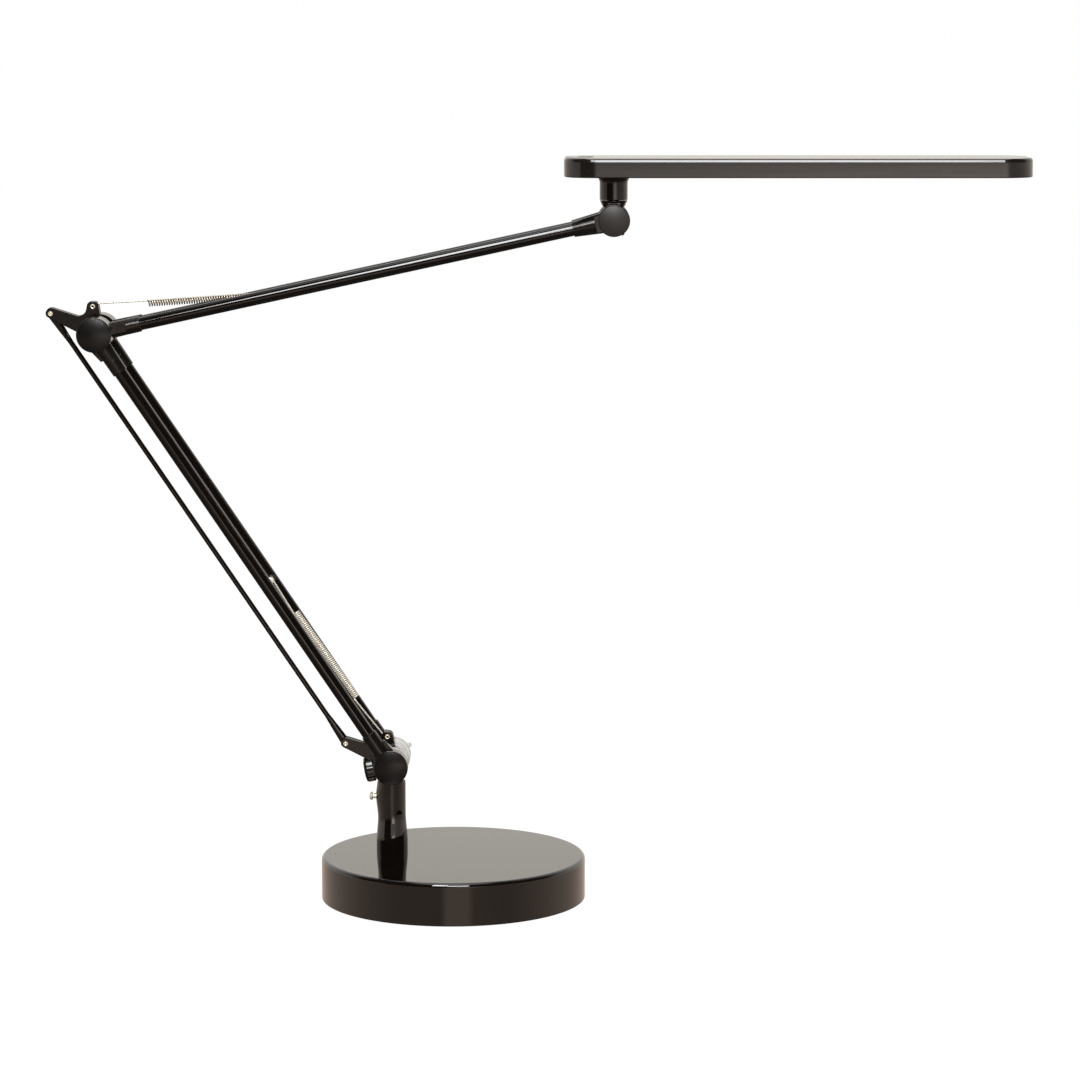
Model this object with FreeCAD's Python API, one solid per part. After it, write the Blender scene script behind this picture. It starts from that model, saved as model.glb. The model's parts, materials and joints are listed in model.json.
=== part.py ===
import FreeCAD
import Part

import math
import os

from FreeCAD import Placement, Rotation, Vector

# Desk lamp with a balanced double arm and a flat led head, in millimetres.
# The origin is the centre of the base's underside, +Z is up and the arms lie in a plane of constant Y.

# Base
base_diameter = 200.0
base_height = 33.0
base_edge_radius = 3.0
cover_wall = 2.5
cover_lift = 0.8
pad_margin = 8.0
pad_thickness = 1.5
plate_thickness = 2.0
plate_gap = 0.3
weight_margin = 11.5
weight_thickness = 16.0
weight_boss_diameter = 34.0
plate_screw_margin = 30.0
plate_screw_diameter = 4.0
plate_screw_head = 7.6
plate_screw_length = 12.0
plate_screw_count = 4
gland_height = 16.0
gland_diameter = 12.0
gland_flange = 16.0
gland_flange_thickness = 1.6
gland_bore = 5.0
gland_tail = 6.0

# Post, its bolt and its clamp screw
post_x = -47.5
post_y = 26.0
post_diameter = 21.0
post_height = 51.7
post_foot_diameter = 24.0
post_foot_height = 11.5
post_flare_height = 5.0
post_rim_chamfer = 0.6
foot_bolt_diameter = 8.0
foot_bolt_head = 14.0
foot_bolt_head_thickness = 5.0
foot_bolt_grip = 11.0
spindle_diameter = 12.0
spindle_depth = 36.0
spindle_seat = 5.0
clamp_height = 39.8
clamp_boss_diameter = 9.0
clamp_boss_reach = 12.2
clamp_screw_diameter = 4.0
clamp_head_diameter = 6.2
clamp_head_thickness = 2.4
clamp_head_reach = 17.2

# Arms
pivot_height = 66.8
lower_arm_length = 395.0
lower_arm_lean = 33.75
upper_arm_length = 397.0
upper_arm_rise = 12.28
tube_diameter = 9.8
tube_wall = 0.9
lower_tube_spacing = 44.0
upper_tube_spacing = 22.0

# Sockets, eyes and caps of the joints
eye_diameter = 26.4
eye_rim_chamfer = 0.5
outer_eye_face = 28.4
outer_eye_thickness = 11.8
inner_eye_thickness = 7.2
head_eye_diameter = 24.2
head_eye_face = 15.2
head_eye_thickness = 8.2
sleeve_root_diameter = 12.6
sleeve_end_diameter = 11.6
sleeve_end_chamfer = 0.6
head_sleeve_root_diameter = 17.0
lap_reach = 23.2
head_lap_reach = 14.0
tube_seat = 10.0
elbow_socket_reach = 34.2
pivot_socket_reach = 30.2
head_socket_reach = 31.2
cap_inset = 0.2
cap_thickness = 2.2
cap_crown = 0.8
cap_spigot_depth = 1.0

# Pivot bolts, their recesses and wing nuts
bolt_diameter = 6.0
bolt_head_diameter = 10.0
bolt_head_thickness = 3.5
recess_diameter = 11.6
recess_depth = 5.0
wing_hub_diameter = 12.0
wing_hub_tip = 9.5
wing_hub_length = 9.0
wing_thickness = 2.6
wing_reach = 15.0
wing_height = 7.0
wing_edge_radius = 2.4
lower_wing_angle = 24.0
head_wing_angle = -45.0

# Brackets with a rod ear and a spring ear
hub_diameter = 20.0
ear_width = 8.6
slot_width = 3.2
rod_ear_x = -34.9
rod_ear_z = 14.25
rod_ear_width = 7.6
spring_ear_x = -3.05
spring_ear_z = 19.6
spring_ear_width = 7.8
ear_end_flat = 0.4
ear_crook_x = -9.4
ear_crook_z = 11.0
ear_crook_radius = 6.0
ear_foot_x = 3.2
ear_foot_z = 8.4
ear_root_x = -8.8
ear_root_z = -3.0
rod_slot_reach = 25.0
spring_slot_reach = 7.0
collar_diameter = 18.0
hub_ring_diameter = 24.4
hub_ring_start = 6.4
dimple_x = -25.5
dimple_z = 9.6
dimple_diameter = 4.6
dimple_depth = 0.6

# Fluted heel on the left of the lower bracket
heel_diameter = 19.4
heel_thickness = 7.5
heel_reach = 21.0
heel_drop = 3.0
heel_fall = 11.0
heel_edge_radius = 1.6
heel_flutes = 14
flute_diameter = 3.2
flute_depth = 0.9
heel_root_diameter = 12.0

# Rivets and link rod
rod_rivet_diameter = 2.4
rod_rivet_head = 3.8
spring_rivet_diameter = 2.6
spring_rivet_head = 3.9
rivet_head_rise = 1.0
eyelet_bore = 1.4
rod_diameter = 3.9
rod_end_thickness = 2.4
rod_end_radius = 3.5
rod_end_length = 26.0
rod_end_neck_radius = 2.1

# Balance springs: the lower one is placed from the lower pivot, the upper one from the elbow
wire_diameter = 1.1
coil_diameter = 5.3
wire_clearance = 0.12
first_turn_angle = 60.0
lead_bend_length = 2.2
tail_bend_length = 5.0
pin_diameter = 4.8
pin_collar_diameter = 7.4
pin_collar_length = 1.4
pin_insertion = 1.6
lower_pin_distance = 165.7
lower_coil_distance = 56.0
lower_coil_z = 5.5
lower_coil_length = 80.0
lower_coil_turns = 44
upper_pin_x = 155.0
upper_coil_x = 42.0
upper_coil_z = 13.2
upper_coil_length = 92.0
upper_coil_turns = 56
hook_turn = 220.0
eye_turn = 250.0

# Head joint and neck
knuckle_diameter = 20.4
shoulder_base_diameter = 14.6
shoulder_base_height = 8.0
shoulder_flat_height = 12.8
neck_diameter = 21.0
neck_floor = 15.0
neck_flare_diameter = 28.0
neck_flare_height = 5.0
neck_pin_diameter = 9.0
neck_pin_length = 10.0
neck_counterbore = 14.0
swivel_screw_diameter = 4.0
swivel_screw_head = 7.0
swivel_screw_head_thickness = 1.4
swivel_screw_length = 8.0
swivel_washer_diameter = 13.0
swivel_washer_thickness = 1.0

# Head
head_height = 32.6
head_length = 349.0
head_width = 76.0
head_thickness = 14.3
head_corner_radius = 24.0
head_inset = 37.3
head_top_chamfer = 1.8
head_bottom_radius = 1.0
head_wall = 1.8
head_top_wall = 2.0
ledge_width = 1.5
end_cover_length = 80.0
panel_thickness = 2.0
panel_gap = 0.2
led_board_width = 58.0
led_board_thickness = 1.2
led_board_margin = 14.0
led_length = 3.0
led_width = 1.6
led_height = 0.7
led_columns = 20
led_rows = 2
led_row_spacing = 26.0
driver_length = 54.0
driver_width = 40.0
driver_offset = 9.0
driver_board_thickness = 1.6
coil_block_length = 16.0
coil_block_width = 20.0
coil_block_height = 5.0
capacitor_diameter = 6.0
capacitor_height = 6.5
switch_size = 6.0
switch_height = 5.0
switch_plunger = 3.0
button_offset = 16.0
button_diameter = 12.0
button_gap = 0.15
button_proud = 0.3
button_travel = 1.0
button_flange = 14.4
button_flange_thickness = 0.8
cover_screw_diameter = 2.6
cover_screw_head = 4.6
cover_screw_head_thickness = 1.0
cover_screw_grip = 5.0
cover_screw_x = (16.0, 68.0)
cover_screw_y = 26.0
cover_boss_diameter = 6.4

# Fits
running_fit = 0.06
side_gap = 0.3

# Places worked out from the sizes above
up = Vector(0, 0, 1)
across = Vector(0, 1, 0)
right = Vector(1, 0, 0)
tube_radius = tube_diameter / 2
bolt_radius = bolt_diameter / 2
wire_radius = wire_diameter / 2
coil_radius = (coil_diameter - wire_diameter) / 2
base_radius = base_diameter / 2
plate_top = pad_thickness + plate_thickness
post_top = base_height + post_height
clamp_z = base_height + clamp_height
pivot = Vector(post_x, post_y, base_height + pivot_height)
lean = math.radians(lower_arm_lean)
rise = math.radians(upper_arm_rise)
elbow = pivot + Vector(-math.sin(lean), 0, math.cos(lean)) * lower_arm_length
head_joint = elbow + Vector(math.cos(rise), 0, math.sin(rise)) * upper_arm_length
lower_frame = Placement(elbow, Rotation(across, 90 - lower_arm_lean))
upper_frame = Placement(elbow, Rotation(across, -upper_arm_rise))
heel_way = Vector(-math.cos(math.radians(heel_fall)), 0, -math.sin(math.radians(heel_fall)))
heel_frame = Placement(Vector(0, 0, -heel_drop), Rotation(up, heel_way))
lower_pin_x = lower_arm_length - lower_pin_distance
lower_tube_y = lower_tube_spacing / 2
upper_tube_y = upper_tube_spacing / 2
outer_eye_back = outer_eye_face - outer_eye_thickness
inner_eye_face = outer_eye_back - side_gap
inner_eye_back = inner_eye_face - inner_eye_thickness
head_eye_back = head_eye_face - head_eye_thickness
head_corner = Vector(head_joint.x - head_inset, post_y, head_joint.z + head_height)
ceiling = head_thickness - head_top_wall


def along_x(start, end, y, z, radius):
    return Part.makeCylinder(radius, end - start, Vector(start, y, z), right)


def along_y(x, z, start, end, radius):
    return Part.makeCylinder(radius, end - start, Vector(x, start, z), across)


def along_z(x, y, start, end, radius):
    return Part.makeCylinder(radius, end - start, Vector(x, y, start), up)


def block(x0, x1, y0, y1, z0, z1):
    return Part.makeBox(x1 - x0, y1 - y0, z1 - z0, Vector(x0, y0, z0))


def lines(points):
    return [Part.LineSegment(a, b).toShape() for a, b in zip(points, points[1:])]


def revolved(edges):
    return Part.Face(Part.Wire(edges)).revolve(Vector(0, 0, 0), up, 360)


def turned(radius_and_height):
    """Body of revolution about Z through (radius, height) corners."""
    points = [Vector(r, 0, z) for r, z in radius_and_height]
    return revolved(lines(points + points[:1]))


def outline(corners):
    """Closed outline in the XZ plane through (x, z, radius) corners, each rounded by its radius."""
    count = len(corners)
    runs = []
    for i, (x, z, radius) in enumerate(corners):
        here = Vector(x, 0, z)
        back = Vector(corners[i - 1][0], 0, corners[i - 1][1]) - here
        ahead = Vector(corners[(i + 1) % count][0], 0, corners[(i + 1) % count][1]) - here
        back.normalize()
        ahead.normalize()
        half = back.getAngle(ahead) / 2
        reach = radius / math.tan(half)
        inward = back + ahead
        inward.normalize()
        middle = here + inward * (radius / math.sin(half) - radius)
        runs.append((here + back * reach, middle, here + ahead * reach, radius))
    edges = []
    for i, (first, middle, last, radius) in enumerate(runs):
        if radius > 0:
            edges.append(Part.Arc(first, middle, last).toShape())
        edges += lines([last, runs[(i + 1) % count][0]])
    return Part.Wire(edges)


def plate(corners, start, end):
    face = Part.Face(outline(corners))
    face.translate(across * start)
    return face.extrude(across * (end - start))


def front_of(shape):
    return shape.mirror(Vector(0, 0, 0), across)


def placed(shape, place):
    if isinstance(place, Vector):
        place = Placement(place, Rotation())
    return shape.transformed(place.toMatrix())


def export(name, shape):
    if not shape.isValid() or shape.Volume <= 0:
        raise ValueError(name + " is not a sound solid")
    shape.exportStep("parts/" + name + ".step")
    print(name, len(shape.Solids), "solid", round(shape.Volume, 2))


# Base and post


def base_cover():
    edge = base_edge_radius
    shoulder = Vector(base_radius - edge, 0, base_height - edge)
    bend = shoulder + Vector(edge * math.sin(math.pi / 4), 0, edge * math.cos(math.pi / 4))
    inside = base_radius - cover_wall
    under = base_height - cover_wall
    crown = Vector(base_radius - edge, 0, base_height)
    side = Vector(base_radius, 0, base_height - edge)
    edges = lines([Vector(0, 0, under), Vector(0, 0, base_height), crown])
    edges.append(Part.Arc(crown, bend, side).toShape())
    edges += lines([
        side,
        Vector(base_radius, 0, cover_lift),
        Vector(inside, 0, cover_lift),
        Vector(inside, 0, under),
        Vector(0, 0, under),
    ])
    cover = revolved(edges)
    cover = cover.cut(along_z(post_x, post_y, 0, base_height + 1, foot_bolt_diameter / 2 + running_fit))
    return cover.cut(along_y(0, gland_height, 0, base_diameter, gland_diameter / 2))


def plate_screws():
    step = 2 * math.pi / plate_screw_count
    circle = base_radius - plate_screw_margin
    sink = (plate_screw_head - plate_screw_diameter) / 2
    screws = []
    for i in range(plate_screw_count):
        turn = step * (i + 0.5)
        place = Vector(circle * math.cos(turn), circle * math.sin(turn), pad_thickness)
        shank = Part.makeCylinder(plate_screw_diameter / 2, plate_screw_length, place, up)
        head = Part.makeCone(plate_screw_head / 2, plate_screw_diameter / 2, sink, place, up)
        screws.append(shank.fuse(head))
    return Part.makeCompound(screws)


def base_plate():
    disc = along_z(0, 0, pad_thickness, plate_top, base_radius - cover_wall - plate_gap)
    return disc.cut(plate_screws())


def base_weight():
    disc = along_z(0, 0, plate_top, plate_top + weight_thickness, base_radius - cover_wall - weight_margin)
    boss = along_z(post_x, post_y, plate_top, base_height - cover_wall, weight_boss_diameter / 2)
    disc = disc.fuse(boss).removeSplitter()
    disc = disc.cut(foot_bolt())
    return disc.cut(plate_screws())


def base_pad():
    return along_z(0, 0, 0, pad_thickness, base_radius - pad_margin)


def foot_bolt():
    neck = plate_top + foot_bolt_head_thickness
    head = along_z(post_x, post_y, plate_top, neck, foot_bolt_head / 2)
    shank = along_z(post_x, post_y, neck, base_height + foot_bolt_grip, foot_bolt_diameter / 2)
    return head.fuse(shank)


def cord_gland():
    root = base_radius - cover_wall - gland_tail
    end = base_radius + gland_flange_thickness
    body = along_y(0, gland_height, root, end, gland_diameter / 2)
    flange = along_y(0, gland_height, base_radius - gland_flange_thickness, end, gland_flange / 2)
    flange = flange.cut(along_z(0, 0, 0, base_height, base_radius))
    return body.fuse(flange).cut(along_y(0, gland_height, root, end, gland_bore / 2))


def post():
    waist = post_diameter / 2
    foot = post_foot_diameter / 2
    flare_low = base_height + post_foot_height
    flare_high = flare_low + post_flare_height
    sweep = (post_flare_height ** 2 + (foot - waist) ** 2) / (2 * (foot - waist))
    half = math.asin(post_flare_height / sweep) / 2
    hollow = Vector(waist + sweep - sweep * math.cos(half), 0, flare_high - sweep * math.sin(half))
    flare_start = Vector(foot, 0, flare_low)
    flare_end = Vector(waist, 0, flare_high)
    edges = lines([Vector(0, 0, base_height), Vector(foot, 0, base_height), flare_start])
    edges.append(Part.Arc(flare_start, hollow, flare_end).toShape())
    edges += lines([
        flare_end,
        Vector(waist, 0, post_top - post_rim_chamfer),
        Vector(waist - post_rim_chamfer, 0, post_top),
        Vector(0, 0, post_top),
        Vector(0, 0, base_height),
    ])
    body = placed(revolved(edges), Vector(post_x, post_y, 0))
    body = body.fuse(along_x(post_x - clamp_boss_reach, post_x, post_y, clamp_z, clamp_boss_diameter / 2))
    bore = spindle_diameter / 2 + running_fit
    body = body.cut(along_z(post_x, post_y, post_top - spindle_depth, post_top, bore))
    body = body.cut(along_x(post_x - clamp_head_reach, post_x, post_y, clamp_z, clamp_screw_diameter / 2))
    return body.cut(foot_bolt())


def clamp_screw():
    tip = post_x - spindle_diameter / 2 - running_fit
    end = post_x - clamp_head_reach
    shank = along_x(end, tip, post_y, clamp_z, clamp_screw_diameter / 2)
    head = Part.makeCone(clamp_head_diameter / 2, clamp_screw_diameter / 2, clamp_head_thickness,
                         Vector(end, post_y, clamp_z), right)
    return shank.fuse(head)


# Brackets, rivets and link rod


def ear_outline():
    run = Vector(ear_root_x - rod_ear_x, 0, ear_root_z - rod_ear_z)
    run.normalize()
    side = Vector(-run.z, 0, run.x)
    rod_half = rod_ear_width / 2
    spring_half = spring_ear_width / 2
    end = Vector(rod_ear_x, 0, rod_ear_z) - run * rod_half
    low = end - side * rod_half
    high = end + side * rod_half
    top = spring_ear_z + spring_half
    return [
        (low.x, low.z, rod_half - ear_end_flat),
        (high.x, high.z, rod_half - ear_end_flat),
        (ear_crook_x, ear_crook_z, ear_crook_radius),
        (spring_ear_x - spring_half, top, spring_half - ear_end_flat),
        (spring_ear_x + spring_half, top, spring_half - ear_end_flat),
        (ear_foot_x, ear_foot_z, 0),
        (0, 0, 0),
        (ear_root_x, ear_root_z, 0),
    ]


def bracket(hub_width):
    half = ear_width / 2
    slot = slot_width / 2
    hub = along_y(0, 0, -hub_width / 2, hub_width / 2, hub_diameter / 2)
    slots = along_y(rod_ear_x, rod_ear_z, -slot, slot, rod_slot_reach)
    slots = slots.fuse(along_y(spring_ear_x, spring_ear_z, -slot, slot, spring_slot_reach))
    body = plate(ear_outline(), -half, half).cut(slots).fuse(hub)
    body = body.cut(along_y(rod_ear_x, rod_ear_z, -half, half, rod_rivet_diameter / 2))
    body = body.cut(along_y(spring_ear_x, spring_ear_z, -half, half, spring_rivet_diameter / 2))
    return body.cut(along_y(0, 0, -hub_width / 2, hub_width / 2, bolt_radius + running_fit))


def heel():
    """Fluted drum along +Z on a narrower root."""
    face = heel_reach - heel_thickness
    drum = along_z(0, 0, face, heel_reach, heel_diameter / 2)
    drum = drum.makeFillet(heel_edge_radius, [edge for edge in drum.Edges if edge.Closed])
    circle = heel_diameter / 2 + flute_diameter / 2 - flute_depth
    for i in range(heel_flutes):
        turn = 2 * math.pi * i / heel_flutes
        x = circle * math.cos(turn)
        y = circle * math.sin(turn)
        drum = drum.cut(along_z(x, y, face, heel_reach, flute_diameter / 2))
    return drum.fuse(along_z(0, 0, 0, face, heel_root_diameter / 2))


def lower_bracket():
    hub_width = 2 * inner_eye_face
    foot = post_top + side_gap - pivot.z
    collar = along_z(0, 0, foot, 0, collar_diameter / 2)
    body = bracket(hub_width).fuse(collar).fuse(placed(heel(), heel_frame)).removeSplitter()
    body = body.cut(along_y(0, 0, -hub_width / 2, hub_width / 2, bolt_radius + running_fit))
    body = body.cut(along_z(0, 0, foot, -spindle_seat, spindle_diameter / 2))
    for face in (-ear_width / 2, ear_width / 2):
        dimple = along_y(dimple_x, dimple_z, face - dimple_depth, face + dimple_depth, dimple_diameter / 2)
        body = body.cut(dimple)
    return body


def hub_rings():
    """Bright ring round each end of the lower bracket's hub, open where the collar passes."""
    foot = post_top + side_gap - pivot.z
    ring = along_y(0, 0, hub_ring_start, inner_eye_face, hub_ring_diameter / 2)
    ring = ring.cut(along_y(0, 0, hub_ring_start, inner_eye_face, hub_diameter / 2))
    ring = ring.cut(along_z(0, 0, foot, 0, collar_diameter / 2))
    return Part.makeCompound([ring, front_of(ring)])


def spindle():
    return along_z(0, 0, post_top - spindle_depth + side_gap - pivot.z, -spindle_seat, spindle_diameter / 2)


def rivet(x, z, diameter, head_diameter, bore):
    half = ear_width / 2
    pin = along_y(x, z, -half - rivet_head_rise, half + rivet_head_rise, diameter / 2)
    for sign in (-1, 1):
        root = Vector(x, sign * half, z)
        head = Part.makeCone(head_diameter / 2, diameter / 2, rivet_head_rise, root, across * sign)
        pin = pin.fuse(head)
    if bore > 0:
        pin = pin.cut(along_y(x, z, -half - rivet_head_rise, half + rivet_head_rise, bore / 2))
    return pin


def rod_end():
    half = rod_end_thickness / 2
    grow = math.asin((rod_end_radius - rod_end_neck_radius) / rod_end_length)
    tip = [Vector(r * math.sin(grow) + x, 0, r * math.cos(grow))
           for x, r in ((0, rod_end_radius), (rod_end_length, rod_end_neck_radius))]
    corners = [(p.x, p.z, 0) for p in tip] + [(p.x, -p.z, 0) for p in reversed(tip)]
    flat = plate(corners, -half, half).fuse(along_y(0, 0, -half, half, rod_end_radius))
    return flat.cut(along_y(0, 0, -half, half, rod_rivet_diameter / 2 + running_fit))


def link_rod():
    """Rod along +X from the elbow's rod ear to the lower bracket's rod ear."""
    far = Placement(Vector(lower_arm_length, 0, 0), Rotation(across, 180))
    inset = rod_end_length - rod_diameter
    shaft = along_x(inset, lower_arm_length - inset, 0, 0, rod_diameter / 2)
    return shaft.fuse(rod_end()).fuse(placed(rod_end(), far)).removeSplitter()


# Sockets, tubes, caps and bolts of the arms


def eye(diameter, back, face):
    rim = eye_rim_chamfer
    body = along_y(0, 0, back, face - rim, diameter / 2)
    return body.fuse(Part.makeCone(diameter / 2, diameter / 2 - rim, rim, Vector(0, face - rim, 0), across))


def socket(diameter, back, face, tube_y, root_diameter, lap, reach, hole_radius):
    """Rear socket along +X: an eye about Y, and a sleeve that is cut to the eye's width up to its lap."""
    bevel = reach - sleeve_end_chamfer
    end = sleeve_end_diameter / 2
    sleeve = Part.makeCone(root_diameter / 2, end, bevel, Vector(0, tube_y, 0), right)
    tip = Part.makeCone(end, end - sleeve_end_chamfer, sleeve_end_chamfer, Vector(bevel, tube_y, 0), right)
    wide = root_diameter
    near = sleeve.common(block(0, lap, back, face, -wide, wide))
    far = sleeve.common(block(lap, reach, tube_y - wide, tube_y + wide, -wide, wide)).fuse(tip)
    body = eye(diameter, back, face).fuse(near).fuse(far).removeSplitter()
    body = body.cut(along_x(reach - tube_seat, reach, tube_y, 0, tube_radius))
    return body.cut(along_y(0, 0, back, face, hole_radius))


def with_recess(body, face):
    return body.cut(along_y(0, 0, face - recess_depth, face, recess_diameter / 2))


def outer_socket(reach):
    body = socket(eye_diameter, outer_eye_back, outer_eye_face, lower_tube_y,
                  sleeve_root_diameter, lap_reach, reach, bolt_radius)
    return with_recess(body, outer_eye_face)


def inner_socket():
    return socket(eye_diameter, inner_eye_back, inner_eye_face, upper_tube_y,
                  sleeve_root_diameter, lap_reach, elbow_socket_reach, bolt_radius + running_fit)


def head_socket():
    body = socket(head_eye_diameter, head_eye_back, head_eye_face, upper_tube_y,
                  head_sleeve_root_diameter, head_lap_reach, head_socket_reach, bolt_radius)
    return with_recess(body, head_eye_face)


def tube(tube_y, start, end, pin_x):
    body = along_x(start, end, tube_y, 0, tube_radius)
    body = body.cut(along_x(start, end, tube_y, 0, tube_radius - tube_wall))
    return body.cut(along_y(pin_x, 0, 0, tube_y, pin_diameter / 2))


def pin_reach(tube_y):
    return tube_y - tube_radius + pin_insertion


def spring_pin(pin_x, tube_y):
    return along_y(pin_x, 0, -pin_reach(tube_y), pin_reach(tube_y), pin_diameter / 2)


def pin_collars(pin_x, tube_y):
    end = tube_y - tube_radius
    ring = along_y(pin_x, 0, end - pin_collar_length, tube_y, pin_collar_diameter / 2)
    ring = ring.cut(along_y(pin_x, 0, end - pin_collar_length, tube_y, pin_diameter / 2))
    wide = pin_collar_diameter
    ring = ring.cut(along_x(pin_x - wide, pin_x + wide, tube_y, 0, tube_radius))
    return Part.makeCompound([ring, front_of(ring)])


def cap(diameter, face):
    """Domed cover disc on the outer face of an eye, with a spigot in the bolt's recess."""
    radius = diameter / 2 - eye_rim_chamfer - cap_inset
    rim = Vector(radius, 0, cap_thickness)
    crown = Vector(0, 0, cap_thickness + cap_crown)
    ball = (radius ** 2 + cap_crown ** 2) / (2 * cap_crown)
    half = math.asin(radius / ball) / 2
    dome = Vector(ball * math.sin(half), 0, crown.z - ball * (1 - math.cos(half)))
    spigot = recess_diameter / 2
    edges = lines([crown, Vector(0, 0, -cap_spigot_depth), Vector(spigot, 0, -cap_spigot_depth),
                   Vector(spigot, 0, 0), Vector(radius, 0, 0), rim])
    edges.append(Part.Arc(rim, dome, crown).toShape())
    return placed(revolved(edges), Placement(Vector(0, face, 0), Rotation(right, -90)))


def bolt(face, end):
    """Bolt along +Y with its head in the front recess."""
    seat = -face + recess_depth
    shank = along_y(0, 0, seat, end, bolt_radius)
    return shank.fuse(along_y(0, 0, seat - bolt_head_thickness, seat, bolt_head_diameter / 2))


def elbow_nut(face):
    seat = face - recess_depth
    nut = along_y(0, 0, seat, seat + bolt_head_thickness, bolt_head_diameter / 2)
    return nut.cut(along_y(0, 0, seat, seat + bolt_head_thickness, bolt_radius))


def wing_nut(face, angle):
    hub = Part.makeCone(wing_hub_diameter / 2, wing_hub_tip / 2, wing_hub_length, Vector(0, 0, 0), up)
    base_z = wing_hub_length - wing_height
    wings = plate([
        (-wing_reach, wing_hub_length + wing_edge_radius, wing_edge_radius),
        (wing_reach, wing_hub_length + wing_edge_radius, wing_edge_radius),
        (wing_reach, wing_hub_length - wing_height / 2, wing_edge_radius),
        (wing_hub_tip / 2, base_z, 0),
        (-wing_hub_tip / 2, base_z, 0),
        (-wing_reach, wing_hub_length - wing_height / 2, wing_edge_radius),
    ], -wing_thickness / 2, wing_thickness / 2)
    saddle = block(-wing_hub_tip / 2, wing_hub_tip / 2, -wing_thickness, wing_thickness, wing_hub_length,
                   2 * wing_hub_length)
    body = hub.fuse(wings.cut(saddle))
    body = body.cut(along_z(0, 0, 0, 2 * wing_hub_length, bolt_radius))
    body = placed(body, Placement(Vector(0, face, 0), Rotation(right, -90)))
    return placed(body, Placement(Vector(0, 0, 0), Rotation(across, -angle)))


# Balance springs


def arc_through(start, corner, end):
    """Arc that leaves start towards corner and reaches end from corner."""
    chord = (end - start) / 2
    middle = start + chord
    height = corner - middle
    if height.Length < 1e-7:
        return Part.LineSegment(start, end).toShape()
    turn = math.acos(min(1.0, chord.Length / (corner - start).Length))
    height.normalize()
    return Part.Arc(start, middle + height * (chord.Length * math.tan(turn / 2)), end).toShape()


def biarc(start, start_way, end, end_way):
    """Two arcs that join start to end with the given directions."""
    span = end - start
    ways = start_way + end_way
    lead = span.dot(ways)
    bend = 2 * (1 - start_way.dot(end_way))
    if bend < 1e-9:
        reach = span.dot(span) / (2 * lead)
    else:
        reach = (math.sqrt(lead ** 2 + bend * span.dot(span)) - lead) / bend
    first = start + start_way * reach
    second = end - end_way * reach
    middle = (first + second) / 2
    return [arc_through(start, first, middle), arc_through(middle, second, end)]


def tangent_from(point, centre, radius):
    """Direction and far end of the line from point that passes a circle in XZ on its own right."""
    run = centre - point
    length = run.Length
    turn = -math.asin(radius / length)
    run.normalize()
    way = Vector(run.x * math.cos(turn) - run.z * math.sin(turn), 0,
                 run.x * math.sin(turn) + run.z * math.cos(turn))
    return way, point + way * math.sqrt(length ** 2 - radius ** 2)


def hook(centre, start, way, degrees):
    """Two arcs about centre that go on from start along way, and a straight end."""
    spoke = start - centre

    def around(share):
        angle = math.radians(degrees * share)
        return centre + spoke * math.cos(angle) + way * (spoke.Length * math.sin(angle))

    end = math.radians(degrees)
    leave = way * math.cos(end) - spoke * (math.sin(end) / spoke.Length)
    edges = [Part.Arc(start, around(0.25), around(0.5)).toShape()]
    edges.append(Part.Arc(around(0.5), around(0.75), around(1)).toShape())
    return edges + lines([around(1), around(1) + leave * wire_diameter])


def wire_tube(edges):
    path = Part.Wire(edges)
    first = path.Edges[0]
    start = first.valueAt(first.FirstParameter)
    way = first.tangentAt(first.FirstParameter)
    ring = Part.Wire([Part.makeCircle(wire_radius, start, way)])
    return path.makePipeShell([ring], True, False)


def least_gap(edges):
    """Least gap between stretches of one wire that lie more than a half turn apart, measured on points."""
    points = []
    for edge in edges:
        points += edge.discretize(Distance=wire_radius)[:-1]
    half_turn = int(math.pi * coil_radius / wire_radius)
    reach = 4 * half_turn
    pairs = ((i, j) for i in range(len(points)) for j in range(i + half_turn, min(i + reach, len(points))))
    return min((points[i] - points[j]).Length for i, j in pairs) - wire_diameter


def spring(ear, pin_x, coil_start, coil_length, turns):
    """Lead wire and coil of a spring from an ear's rivet to a cross pin, in its arm's frame."""
    pin = Vector(pin_x, 0, 0)
    axis, hook_start = tangent_from(coil_start, pin, pin_diameter / 2 + wire_radius + wire_clearance)
    off = axis.cross(across)
    pitch = coil_length / turns
    slope = pitch / (2 * math.pi * coil_radius)
    first_angle = math.radians(first_turn_angle)

    def on_coil(angle):
        radial = off * math.cos(first_angle + angle) + across * math.sin(first_angle + angle)
        return coil_start + axis * (pitch * angle / (2 * math.pi)) + radial * coil_radius

    def along_coil(angle):
        way = across * math.cos(first_angle + angle) - off * math.sin(first_angle + angle) + axis * slope
        way.normalize()
        return way

    brow = coil_start + off * coil_radius
    ear_loop = spring_rivet_diameter / 2 + wire_radius + wire_clearance
    way, eye_start = tangent_from(brow, ear, ear_loop)
    bend = brow + way * lead_bend_length
    joint = bend + way * wire_diameter
    lead = lines([joint, eye_start]) + hook(ear, eye_start, way, eye_turn)

    coil = lines([joint, bend])
    coil += biarc(bend, way * -1, on_coil(0), along_coil(0))
    for i in range(2 * turns):
        coil += biarc(on_coil(math.pi * i), along_coil(math.pi * i),
                      on_coil(math.pi * (i + 1)), along_coil(math.pi * (i + 1)))
    last = 2 * math.pi * turns
    tail = coil_start + axis * (coil_length + tail_bend_length)
    coil += biarc(on_coil(last), along_coil(last), tail, axis)
    coil += lines([tail, hook_start]) + hook(pin, hook_start, axis, hook_turn)
    tightest = min(edge.Curve.Radius for edge in coil + lead if isinstance(edge.Curve, Part.Circle))
    print("tightest bend", round(tightest, 2), "least gap", round(min(least_gap(coil), least_gap(lead)), 2))
    return wire_tube(lead), wire_tube(coil)


# Head joint and head


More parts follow.
